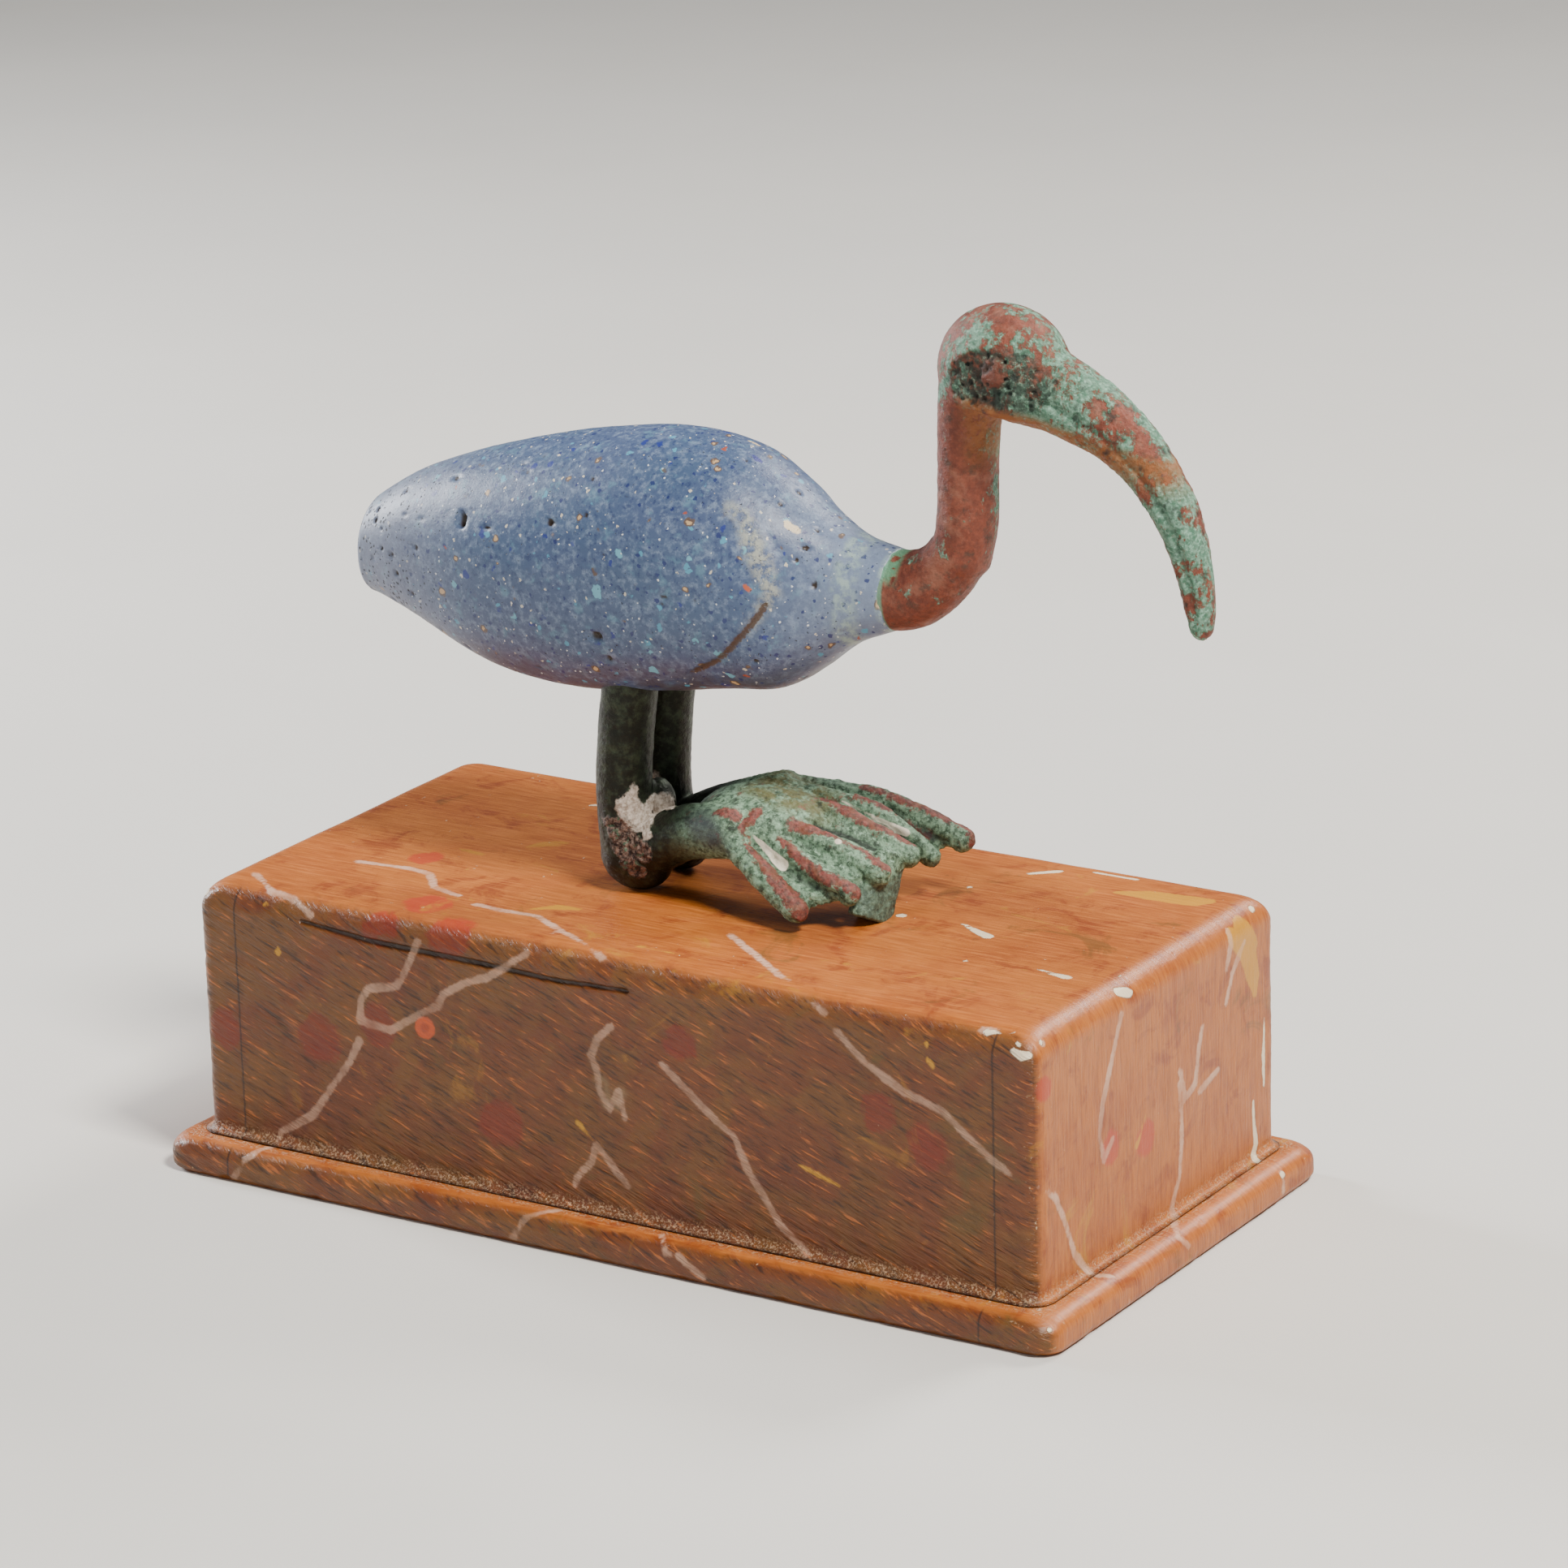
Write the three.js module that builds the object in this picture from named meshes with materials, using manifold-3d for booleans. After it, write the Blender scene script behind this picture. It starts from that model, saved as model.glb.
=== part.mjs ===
import * as THREE from "three";
import { mergeVertices } from "three/addons/utils/BufferGeometryUtils.js";
import Module from "manifold-3d";

// An ibis with a blue frit body and bronze head and legs, standing on a painted wooden plinth.
// Millimetres. X runs from tail to bill, Y from the bird's right to its left, Z is up.
// The origin is the centre of the plinth's underside.

// Plinth: a block with rounded edges on a thin foot slab
const BLOCK = { length: 130, width: 63.7, height: 35.3, rounding: 4, corner: 2.3 };
const FOOT = { overhang: 4.5, height: 5.1, rounding: 2.6, corner: 3.4, underside: 1.2 };
const GAP = 0.3;
const BLOCK_TOP = FOOT.height + GAP + BLOCK.height;

// The bird's middle plane, and the place where the bronze collar meets the frit
const MIDDLE_Y = -1;
const JOINT_X = 27.9;

// Side view of the body, from the neck joint to the tail: height of back and belly, and half the width
const BODY_STATIONS = [
  { x: JOINT_X, back: 90.6, belly: 80.1, half: 4.8 },
  { x: 22, back: 91.8, belly: 77.5, half: 6.7 },
  { x: 16, back: 94.9, belly: 73.1, half: 9.6 },
  { x: 11.5, back: 98.2, belly: 70.5, half: 11.8 },
  { x: 5, back: 101.6, belly: 69.6, half: 13.4 },
  { x: -5, back: 102.8, belly: 68.0, half: 14.4 },
  { x: -18, back: 101.1, belly: 66.7, half: 14.5 },
  { x: -31, back: 97.9, belly: 67.8, half: 12.9 },
  { x: -44, back: 93.5, belly: 72.4, half: 9.6 },
  { x: -51, back: 89.6, belly: 74.6, half: 7.2 },
  { x: -55, back: 86.8, belly: 75.1, half: 5.9 },
];
const TAIL_ROUNDING = 2.5;
const SQUARENESS = { back: 2.06, belly: 2.5 };

// The wings' front edge in the side view, and how far the breast is cut back from it
const WING = {
  foot: { x: -6, z: 67 },
  front: { x: 15.2, z: 87.6 },
  top: { x: 7, z: 103 },
};
const BREAST = { sink: 0.75, from: -14, full: -4, fade: 17, end: 25, low: 88, high: 93 };

// Collar, neck and bill along the middle plane: half the thickness in that plane, and half across it
const COLLAR_STATIONS = [
  { x: 26.5, z: 85.3, thick: 5.4, wide: 5.0 },
  { x: 30.2, z: 85.8, thick: 5.1, wide: 4.8 },
  { x: 32.8, z: 87.1, thick: 4.6, wide: 4.6 },
  { x: 35.1, z: 89.1, thick: 4.15, wide: 4.4 },
  { x: 36.6, z: 91.0, thick: 3.95, wide: 4.3 },
];
const NECK_STATIONS = [
  { x: 37.2, z: 91.0, thick: 3.9, wide: 4.2 },
  { x: 38.2, z: 95.9, thick: 3.9, wide: 4.2 },
  { x: 38.4, z: 102.0, thick: 3.8, wide: 4.2 },
  { x: 38.7, z: 108.7, thick: 3.95, wide: 4.4 },
  { x: 39.3, z: 113.5, thick: 4.2, wide: 4.8 },
];
const BILL_STATIONS = [
  { x: 46.0, z: 114.9, thick: 5.3, wide: 5.2 },
  { x: 50.6, z: 114.2, thick: 5.2, wide: 4.9 },
  { x: 54.8, z: 112.6, thick: 4.75, wide: 4.4 },
  { x: 59.3, z: 110.3, thick: 4.15, wide: 4.0 },
  { x: 64.3, z: 106.1, thick: 3.45, wide: 3.5 },
  { x: 68.5, z: 99.9, thick: 2.9, wide: 3.0 },
  { x: 70.7, z: 93.6, thick: 2.4, wide: 2.5 },
  { x: 71.6, z: 88.4, thick: 2.0, wide: 2.0 },
  { x: 71.8, z: 86.2, thick: 1.6, wide: 1.6 },
];
const BILL_GROOVE = { radius: 0.6, depth: 0.45, first: 1, last: 7 };

// Head: a cap over sunken cheeks, with a lump for each eye, cut off below along the slanting jaw
const HEAD = { x: 44, z: 116.1, long: 9.0, wide: 6.7, high: 8.5 };
const CHEEK = { x: 46.6, z: 116.0, long: 7.8, high: 4.4, halfWidth: 5.75 };
const EYE = { x: 45.6, z: 117.0, radius: 2.1, proud: 0.9 };
const JAW = { x: 44, z: 111.5, slope: -13 };

// Shins: a centre line by height above the block, for the bird's right and left side
const SHIN = { radius: 3.75, rightY: -6.2, leftY: 3.2 };
const SHIN_LINE = [
  { x: -11.6, h: 4.0 },
  { x: -12.2, h: 13.0 },
  { x: -11.5, h: 22.0 },
  { x: -10.2, h: 30.0 },
];
const HEEL = { x: -10.4, h: 4.6, long: 5.4, high: 4.9 };

// Feet: each runs from the heel over a raised instep, x, y and height above the block
const INSTEP_RADIUS = 3.7;
const INSTEPS = [
  [[-9.5, -6.3, 4.8], [-2.4, -6.3, 8.8], [5.5, -7.0, 10.4]],
  [[-9.5, 3.2, 5.2], [-3.0, 3.2, 8.7], [6.5, 4.2, 12.0]],
];

// Toes from the bird's right to its left: root, middle and tip of each ridge, and its radius
const TOES = [
  { line: [[3.2, -8.0, 11.6], [11.2, -10.3, 6.6], [17.6, -11.3, 2.5]], radius: 1.7 },
  { line: [[5.5, -6.2, 11.9], [14.5, -7.0, 8.3], [23.4, -7.6, 4.6]], radius: 1.5 },
  { line: [[6.5, -4.0, 12.3], [17.0, -3.9, 9.6], [25.4, -3.2, 6.3]], radius: 1.5 },
  { line: [[7.5, 0.5, 13.0], [18.0, 2.0, 11.0], [25.8, 3.7, 6.8]], radius: 1.5 },
  { line: [[7.5, 3.2, 13.5], [19.0, 5.4, 11.3], [26.6, 7.6, 5.8]], radius: 1.5 },
  { line: [[5.0, 5.2, 13.3], [18.6, 8.8, 11.8], [29.4, 11.4, 7.3]], radius: 1.65 },
];
const WEB = { above: 1.05, sag: 0.4, below: { root: 2.4, tip: 1.5 }, overlap: 0.4, reach: 0.95 };
const SADDLE = { x: 6.2, y: -0.8, h: 10.4, long: 9.5, wide: 8.4, high: 4.5 };

// The flat tongue below the toes that reaches the block, narrower and further to the left at its top
const TANG = [
  { x: 23.4, y: -2.9, h: 0, thick: 2.2, wide: 5.0 },
  { x: 23.7, y: -1.0, h: 3.4, thick: 1.9, wide: 4.2 },
  { x: 23.9, y: 1.9, h: 7.2, thick: 1.6, wide: 3.2 },
];

const FRIT = new THREE.MeshStandardMaterial({ color: 0x4d5f7f, roughness: 0.5, metalness: 0 });
const HEAD_PATINA = new THREE.MeshStandardMaterial({ color: 0x7a6656, roughness: 0.6, metalness: 0.35 });
const LEG_PATINA = new THREE.MeshStandardMaterial({ color: 0x5c6450, roughness: 0.6, metalness: 0.35 });
const BLOCK_PAINT = new THREE.MeshStandardMaterial({ color: 0x9a4517, roughness: 0.4, metalness: 0 });
const FOOT_PAINT = new THREE.MeshStandardMaterial({ color: 0x8a3c16, roughness: 0.4, metalness: 0 });

const wasm = await Module();
wasm.setup();

// Turns a closed geometry into a solid that can be joined and cut
function solid(geometry) {
  const bare = geometry.clone();
  bare.deleteAttribute("normal");
  bare.deleteAttribute("uv");
  const merged = mergeVertices(bare, 1e-4);
  const mesh = new wasm.Mesh({
    numProp: 3,
    vertProperties: new Float32Array(merged.attributes.position.array),
    triVerts: new Uint32Array(merged.index.array),
  });
  return new wasm.Manifold(mesh);
}

function geometryOf(body) {
  const mesh = body.getMesh();
  const geometry = new THREE.BufferGeometry();
  geometry.setAttribute("position", new THREE.BufferAttribute(mesh.vertProperties, 3));
  geometry.setIndex(new THREE.BufferAttribute(mesh.triVerts, 1));
  geometry.computeVertexNormals();
  return geometry;
}

function join(bodies) {
  return bodies.reduce((whole, body) => whole.add(body));
}

// Closes a row of rings into one shell, with a flat cap on the first and the last ring
function skin(rings) {
  const sides = rings[0].length;
  const faces = [];
  for (let i = 0; i + 1 < rings.length; i++) {
    for (let j = 0; j < sides; j++) {
      const a = i * sides + j;
      const b = i * sides + ((j + 1) % sides);
      faces.push(a, b, a + sides, b, b + sides, a + sides);
    }
  }
  const last = (rings.length - 1) * sides;
  for (let j = 1; j + 1 < sides; j++) {
    faces.push(0, j + 1, j);
    faces.push(last, last + j, last + j + 1);
  }
  const geometry = new THREE.BufferGeometry().setFromPoints(rings.flat());
  geometry.setIndex(faces);
  return geometry;
}

function smooth(points) {
  return new THREE.CatmullRomCurve3(points, false, "catmullrom", 0.5);
}

// Sweeps an oval along a line. wide is measured along Y, thick across it, and each end may be domed.
function sweep(stations, { steps, sides, domes = [0, 0] }) {
  const line = smooth(stations.map((s) => new THREE.Vector3(s.x, s.y, s.z)));
  const girth = smooth(stations.map((s) => new THREE.Vector3(s.thick, s.wide, 0)));
  const row = (t, shrink = 1, push = 0) => ({ t, shrink, push });
  const dome = [0.985, 0.85, 0.5].map((k) => ({ k, shrink: Math.sqrt(1 - k * k) }));
  const rows = Array.from({ length: steps + 1 }, (_, i) => row(i / steps));
  if (domes[0]) rows.unshift(...dome.map((d) => row(0, d.shrink, -d.k * domes[0])));
  if (domes[1]) rows.push(...dome.reverse().map((d) => row(1, d.shrink, d.k * domes[1])));
  const rings = rows.map(({ t, shrink, push }) => {
    const place = line.getPoint(t);
    const { x: thick, y: wide } = girth.getPoint(t);
    const along = line.getTangent(t);
    const across = new THREE.Vector3(0, 1, 0);
    across.addScaledVector(along, -along.y).normalize();
    const up = new THREE.Vector3().crossVectors(along, across);
    return Array.from({ length: sides }, (_, j) => {
      const angle = (j / sides) * 2 * Math.PI;
      return place.clone()
        .addScaledVector(along, push)
        .addScaledVector(across, Math.cos(angle) * wide * shrink)
        .addScaledVector(up, Math.sin(angle) * thick * shrink);
    });
  });
  return solid(skin(rings));
}

function egg({ x, y, z, long, wide, high, sides }) {
  const ball = new THREE.SphereGeometry(1, sides, Math.round(sides * 0.6));
  ball.scale(long, wide, high);
  ball.translate(x, y, z);
  return solid(ball);
}

// How far the breast lies below the wings at a point of the side view
function breastSink(x, z) {
  const { smoothstep } = THREE.MathUtils;
  const behind = smoothstep(x, BREAST.from, BREAST.full);
  const ahead = 1 - smoothstep(x, BREAST.fade, BREAST.end);
  const above = 1 - smoothstep(z, BREAST.low, BREAST.high);
  return BREAST.sink * behind * ahead * above;
}

// Oval rings from the neck joint to the tail, closer together towards the tail's rounded end
function bodyShell(grow, sink) {
  const steps = 36;
  const sides = 30;
  const outline = smooth(BODY_STATIONS.map((s) => new THREE.Vector3(s.x, s.back, s.belly)));
  const halves = smooth(BODY_STATIONS.map((s) => new THREE.Vector3(s.half, 0, 0)));
  const tail = BODY_STATIONS[BODY_STATIONS.length - 1].x;
  const bulge = (v, power) => Math.sign(v) * Math.abs(v) ** (2 / power);
  const rings = [];
  for (let i = 0; i <= steps; i++) {
    const t = Math.sin((i / steps) * Math.PI / 2);
    const { x, y: back, z: belly } = outline.getPoint(t);
    const toTail = 1 - Math.min(1, (x - tail) / TAIL_ROUNDING);
    const round = Math.sqrt(Math.max(0.003, 1 - toTail ** 2));
    const half = ((back - belly) / 2) * round + grow;
    const wide = halves.getPoint(t).x * round + grow;
    rings.push(Array.from({ length: sides }, (_, j) => {
      const angle = (j / sides) * 2 * Math.PI;
      const power = Math.sin(angle) < 0 ? SQUARENESS.belly : SQUARENESS.back;
      const z = (back + belly) / 2 + half * bulge(Math.sin(angle), power);
      const y = (wide - sink(x, z)) * bulge(Math.cos(angle), power);
      return new THREE.Vector3(x, MIDDLE_Y - y, z);
    }));
  }
  return solid(skin(rings));
}

// Everything behind the wings' front edge, as wide as needed to cut the full shell
function wingRegion() {
  const shape = new THREE.Shape();
  shape.moveTo(-70, 50);
  shape.lineTo(WING.foot.x, 50);
  shape.lineTo(WING.foot.x, WING.foot.z);
  shape.bezierCurveTo(5, 75, WING.front.x, 80, WING.front.x, WING.front.z);
  shape.bezierCurveTo(WING.front.x, 92, 13, 96, WING.top.x, WING.top.z);
  shape.lineTo(-70, 120);
  const block = new THREE.ExtrudeGeometry(shape, { depth: 80, bevelEnabled: false, curveSegments: 9 });
  block.rotateX(Math.PI / 2);
  block.translate(0, 40, 0);
  return solid(block);
}

function fritBody() {
  const wings = bodyShell(0, () => 0).intersect(wingRegion());
  return bodyShell(0, breastSink).add(wings);
}

const inMiddle = (stations) => stations.map((s) => ({ ...s, y: MIDDLE_Y }));

// The jaw's cut: a big box whose top slants down towards the bill
function jawCut() {
  const size = 40;
  const box = new THREE.BoxGeometry(size, size, size);
  box.translate(0, 0, -size / 2);
  box.rotateY(THREE.MathUtils.degToRad(-JAW.slope));
  box.translate(JAW.x, MIDDLE_Y, JAW.z);
  return solid(box);
}

function cheekCut(side) {
  const reach = 5;
  const drum = new THREE.CylinderGeometry(1, 1, reach, 20);
  drum.scale(CHEEK.long, 1, CHEEK.high);
  drum.translate(CHEEK.x, MIDDLE_Y + side * (CHEEK.halfWidth + reach / 2), CHEEK.z);
  return solid(drum);
}

function billGroove(side) {
  const stations = BILL_STATIONS.slice(BILL_GROOVE.first, BILL_GROOVE.last + 1).map((s) => ({
    x: s.x,
    y: MIDDLE_Y + side * (s.wide + BILL_GROOVE.radius - BILL_GROOVE.depth),
    z: s.z,
    thick: BILL_GROOVE.radius,
    wide: BILL_GROOVE.radius,
  }));
  return sweep(stations, { steps: 12, sides: 6 });
}

function headAndNeck() {
  const collar = sweep(inMiddle(COLLAR_STATIONS), { steps: 7, sides: 16, domes: [0, 3] })
    .trimByPlane([1, 0, 0], JOINT_X + GAP);
  const neck = sweep(inMiddle(NECK_STATIONS), { steps: 7, sides: 16, domes: [3, 2] });
  const bill = sweep(inMiddle(BILL_STATIONS), { steps: 20, sides: 14, domes: [3, 1.6] });
  const head = egg({ ...HEAD, y: MIDDLE_Y, sides: 20 }).subtract(jawCut());
  const sides = [-1, 1];
  const eyes = sides.map((side) => egg({
    x: EYE.x,
    y: MIDDLE_Y + side * CHEEK.halfWidth,
    z: EYE.z,
    long: EYE.radius,
    wide: EYE.proud,
    high: EYE.radius,
    sides: 10,
  }));
  const sunken = sides.reduce((body, side) => body.subtract(cheekCut(side)), head);
  const grooved = sides.reduce((body, side) => body.subtract(billGroove(side)), bill);
  return join([collar, neck, sunken, grooved, ...eyes]);
}

const aboveBlock = ([x, y, h]) => new THREE.Vector3(x, y, BLOCK_TOP + h);

function shins() {
  return [SHIN.rightY, SHIN.leftY].flatMap((y) => {
    const stations = SHIN_LINE.map(({ x, h }) => {
      return { ...aboveBlock([x, y, h]), thick: SHIN.radius, wide: SHIN.radius };
    });
    const heel = { ...aboveBlock([HEEL.x, y, HEEL.h]), long: HEEL.long, wide: SHIN.radius, high: HEEL.high };
    return [sweep(stations, { steps: 6, sides: 12, domes: [3, 0] }), egg({ ...heel, sides: 12 })];
  });
}

function insteps() {
  return INSTEPS.map((line) => {
    const stations = line.map((p) => ({ ...aboveBlock(p), thick: INSTEP_RADIUS, wide: INSTEP_RADIUS }));
    return sweep(stations, { steps: 6, sides: 12, domes: [1, 3] });
  });
}

const toeLine = (toe) => smooth(toe.line.map(aboveBlock));

function toeRidge(toe) {
  const line = toeLine(toe);
  const stations = [0, 0.5, 1].map((t) => {
    return { ...line.getPoint(t), thick: toe.radius, wide: toe.radius };
  });
  return sweep(stations, { steps: 5, sides: 8, domes: [1.2, 1.4] });
}

// The membrane between two neighbouring toes, a little lower along its middle
function web(toeA, toeB) {
  const steps = 5;
  const [lineA, lineB] = [toeLine(toeA), toeLine(toeB)];
  const rings = [];
  for (let i = 0; i <= steps; i++) {
    const t = (i / steps) * WEB.reach;
    const [p, q] = [lineA.getPoint(t), lineB.getPoint(t)];
    const over = q.clone().sub(p).setLength(WEB.overlap);
    p.sub(over);
    q.add(over);
    const middle = p.clone().lerp(q, 0.5);
    const raise = (v, by) => v.clone().setZ(v.z + by);
    const below = THREE.MathUtils.lerp(WEB.below.root, WEB.below.tip, i / steps);
    rings.push([
      raise(p, -below),
      raise(q, -below),
      raise(q, WEB.above),
      raise(middle, WEB.above - WEB.sag),
      raise(p, WEB.above),
    ]);
  }
  return solid(skin(rings));
}

function tang() {
  const stations = TANG.map(({ x, y, h, thick, wide }) => ({ ...aboveBlock([x, y, h]), thick, wide }));
  return sweep(stations, { steps: 3, sides: 12, domes: [0, 0.6] });
}

function legsAndFeet() {
  const ridges = TOES.map(toeRidge);
  const webs = TOES.slice(1).map((toe, i) => web(TOES[i], toe));
  const saddle = egg({ ...SADDLE, z: BLOCK_TOP + SADDLE.h, sides: 16 });
  const whole = join([...shins(), ...insteps(), ...ridges, ...webs, saddle, tang()]);
  const below = new THREE.BoxGeometry(200, 200, 40);
  below.translate(0, 0, BLOCK_TOP + GAP - 20);
  return whole.subtract(bodyShell(GAP, () => 0)).subtract(solid(below));
}

// A slab with upright sides, rounded corners, a rounded top edge, and a smaller one below if it has one
function roundedSlab({ length, width, bottom, top, rounding, corner, underside }) {
  const arcSteps = 5;
  const edgeSteps = 5;
  const underSteps = 2;
  const ring = (inset, z) => {
    const points = [];
    [[1, 1], [-1, 1], [-1, -1], [1, -1]].forEach(([sx, sy], turn) => {
      for (let k = 0; k <= arcSteps; k++) {
        const angle = ((turn + k / arcSteps) * Math.PI) / 2;
        const x = sx * (length / 2 - inset - corner) + corner * Math.cos(angle);
        const y = sy * (width / 2 - inset - corner) + corner * Math.sin(angle);
        points.push(new THREE.Vector3(x, y, z));
      }
    });
    return points;
  };
  const rings = [];
  for (let k = 0; k < underSteps && underside > 0; k++) {
    const angle = ((k / underSteps) * Math.PI) / 2;
    rings.push(ring(underside * (1 - Math.sin(angle)), bottom + underside * (1 - Math.cos(angle))));
  }
  rings.push(ring(0, bottom + underside));
  for (let k = 0; k <= edgeSteps; k++) {
    const angle = ((k / edgeSteps) * Math.PI) / 2;
    rings.push(ring(rounding * (1 - Math.cos(angle)), top - rounding * (1 - Math.sin(angle))));
  }
  return solid(skin(rings));
}

function plinthFoot() {
  return roundedSlab({
    length: BLOCK.length + 2 * FOOT.overhang,
    width: BLOCK.width + 2 * FOOT.overhang,
    bottom: 0,
    top: FOOT.height,
    rounding: FOOT.rounding,
    corner: FOOT.corner,
    underside: FOOT.underside,
  });
}

function plinthBlock() {
  return roundedSlab({
    length: BLOCK.length,
    width: BLOCK.width,
    bottom: FOOT.height + GAP,
    top: BLOCK_TOP,
    rounding: BLOCK.rounding,
    corner: BLOCK.corner,
    underside: 0,
  });
}

function part(name, body, material) {
  const mesh = new THREE.Mesh(geometryOf(body), material);
  mesh.name = name;
  return mesh;
}

const object = new THREE.Group();
object.add(part("plinth_foot", plinthFoot(), FOOT_PAINT));
object.add(part("plinth_block", plinthBlock(), BLOCK_PAINT));
object.add(part("frit_body", fritBody(), FRIT));
object.add(part("head_and_neck", headAndNeck(), HEAD_PATINA));
object.add(part("legs_and_feet", legsAndFeet(), LEG_PATINA));

export default object;
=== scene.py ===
import math

import bpy
import numpy as np
from bpy.props import FloatProperty, FloatVectorProperty, IntProperty, PointerProperty
from mathutils import Matrix, Vector, noise


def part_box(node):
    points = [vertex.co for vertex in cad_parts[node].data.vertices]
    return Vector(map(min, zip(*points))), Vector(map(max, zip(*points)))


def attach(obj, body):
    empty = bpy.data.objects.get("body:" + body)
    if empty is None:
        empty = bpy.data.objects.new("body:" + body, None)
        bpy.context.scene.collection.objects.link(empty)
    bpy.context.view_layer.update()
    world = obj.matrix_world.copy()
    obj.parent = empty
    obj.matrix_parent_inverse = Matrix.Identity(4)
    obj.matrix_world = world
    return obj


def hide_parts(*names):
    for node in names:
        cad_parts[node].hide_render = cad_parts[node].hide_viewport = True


bl_info = {
    "name": "Ibis Figure",
    "version": (1, 0, 0),
    "blender": (4, 5, 0),
    "location": "3D View > Sidebar > Ibis",
    "description": "A blue frit ibis with bronze head and legs on a painted wooden plinth",
    "category": "Add Mesh",
}

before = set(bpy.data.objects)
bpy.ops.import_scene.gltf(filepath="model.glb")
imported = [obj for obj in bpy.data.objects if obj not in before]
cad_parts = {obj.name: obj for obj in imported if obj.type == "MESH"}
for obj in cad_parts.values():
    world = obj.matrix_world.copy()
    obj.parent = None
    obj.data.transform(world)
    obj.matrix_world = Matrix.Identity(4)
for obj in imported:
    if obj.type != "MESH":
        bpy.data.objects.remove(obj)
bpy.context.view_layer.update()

MM = 0.001
MIDDLE_Y = -1.0
BLOCK_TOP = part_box("plinth_block")[1][2] / MM

# Side view of the body from the neck joint to the tail: x, back, belly, half the width
BODY = [
    (27.9, 90.6, 80.1, 4.8),
    (22.0, 91.8, 77.5, 6.7),
    (16.0, 94.9, 73.1, 9.6),
    (11.5, 98.2, 70.5, 11.8),
    (5.0, 101.6, 69.6, 13.4),
    (-5.0, 102.8, 68.0, 14.4),
    (-18.0, 101.1, 66.7, 14.5),
    (-31.0, 97.9, 67.8, 12.9),
    (-44.0, 93.5, 72.4, 9.6),
    (-51.0, 89.6, 74.6, 7.2),
    (-55.0, 86.8, 75.1, 5.9),
]

# The wings' front edge in the side view: z and x
WING_EDGE = [(66, -9.0), (70.1, -2.7), (73.9, 3.2), (76.7, 7.7), (80.3, 11.2), (83.6, 13.6), (88.2, 15.1),
             (90.7, 14.4), (94.3, 12.0), (98.0, 9.5), (103.0, 7.0)]

# Larger pits in the frit: x, y, z, half length, half height, depth
PITS = [
    (-32.4, -12.1, 89.8, 0.75, 1.2, 1.1),
    (-36.0, -7.7, 94.0, 0.5, 0.35, 0.5),
    (-17.0, -14.0, 91.9, 0.8, 0.5, 0.5),
    (-9.8, -14.8, 77.6, 0.9, 0.7, 0.8),
    (-8.5, -13.6, 74.3, 0.45, 0.8, 0.6),
    (-27.5, -13.4, 89.7, 0.4, 0.35, 0.45),
    (17.7, -7.0, 91.1, 0.5, 0.35, 0.4),
    (17.0, -8.2, 89.7, 0.35, 0.35, 0.35),
    (12.0, -10.4, 76.1, 0.45, 0.4, 0.4),
    (19.5, -8.0, 86.5, 0.3, 0.9, 0.3),
    (-22.0, 13.5, 84.0, 0.7, 0.5, 0.6),
    (4.0, 12.9, 80.0, 0.5, 0.7, 0.5),
    (-40.0, 9.5, 88.0, 0.5, 0.4, 0.5),
]

# Marks in the frit: strokes of x, y, z and half the width
FRIT_MARKS = {
    "crust": [[(10.2, -9.9, 95.2, 0.4), (11.8, -10.6, 92.0, 0.9), (13.3, -11.0, 89.6, 0.9), (14.9, -11.0, 85.6, 0.5)],
              [(8.0, -9.6, 95.6, 0.3), (9.2, -9.7, 95.2, 0.4)], [(13.9, -10.9, 84.6, 0.5), (11.5, -11.6, 81.0, 0.3)]],
    "cream": [[(14.9, -6.9, 93.9, 0.55), (16.1, -6.4, 93.0, 0.45)], [(4.4, 1.3, 101.4, 0.35), (5.6, 1.2, 101.1, 0.3)]],
    "navy": [[(6.8, -2.3, 100.7, 0.3), (8.0, -2.4, 100.3, 0.45)]],
    "rust": [[(11.8, -12.4, 86.6, 0.35), (12.3, -12.4, 86.2, 0.3)]],
}

# Collar, neck and bill along the middle plane: x, y, z, half thickness, half width
COLLAR = [
    (25.8, MIDDLE_Y, 85.25, 5.45, 5.0),
    (28.2, MIDDLE_Y, 85.35, 5.3, 4.95),
    (30.2, MIDDLE_Y, 85.8, 5.1, 4.8),
    (32.8, MIDDLE_Y, 87.1, 4.6, 4.6),
    (35.1, MIDDLE_Y, 89.1, 4.15, 4.4),
    (36.6, MIDDLE_Y, 91.0, 3.95, 4.3),
]
NECK = [
    (37.2, MIDDLE_Y, 91.0, 3.9, 4.2),
    (38.2, MIDDLE_Y, 95.9, 3.9, 4.2),
    (38.4, MIDDLE_Y, 102.0, 3.8, 4.2),
    (38.7, MIDDLE_Y, 108.7, 3.95, 4.4),
    (39.3, MIDDLE_Y, 113.5, 4.2, 4.8),
]
BILL = [
    (46.0, MIDDLE_Y, 114.9, 5.3, 5.2),
    (50.6, MIDDLE_Y, 114.2, 5.2, 4.9),
    (54.8, MIDDLE_Y, 112.6, 4.75, 4.4),
    (59.3, MIDDLE_Y, 110.3, 4.15, 4.0),
    (64.3, MIDDLE_Y, 106.1, 3.45, 3.5),
    (68.5, MIDDLE_Y, 99.9, 2.9, 3.0),
    (70.7, MIDDLE_Y, 93.6, 2.4, 2.5),
    (71.6, MIDDLE_Y, 88.4, 2.0, 2.0),
    (71.8, MIDDLE_Y, 86.2, 1.6, 1.6),
]
HEAD = {"centre": (44.0, MIDDLE_Y, 116.1), "radii": (9.0, 6.7, 8.5)}
JAW = {"x": 44.0, "z": 111.5, "slope": math.tan(math.radians(-13))}
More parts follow.
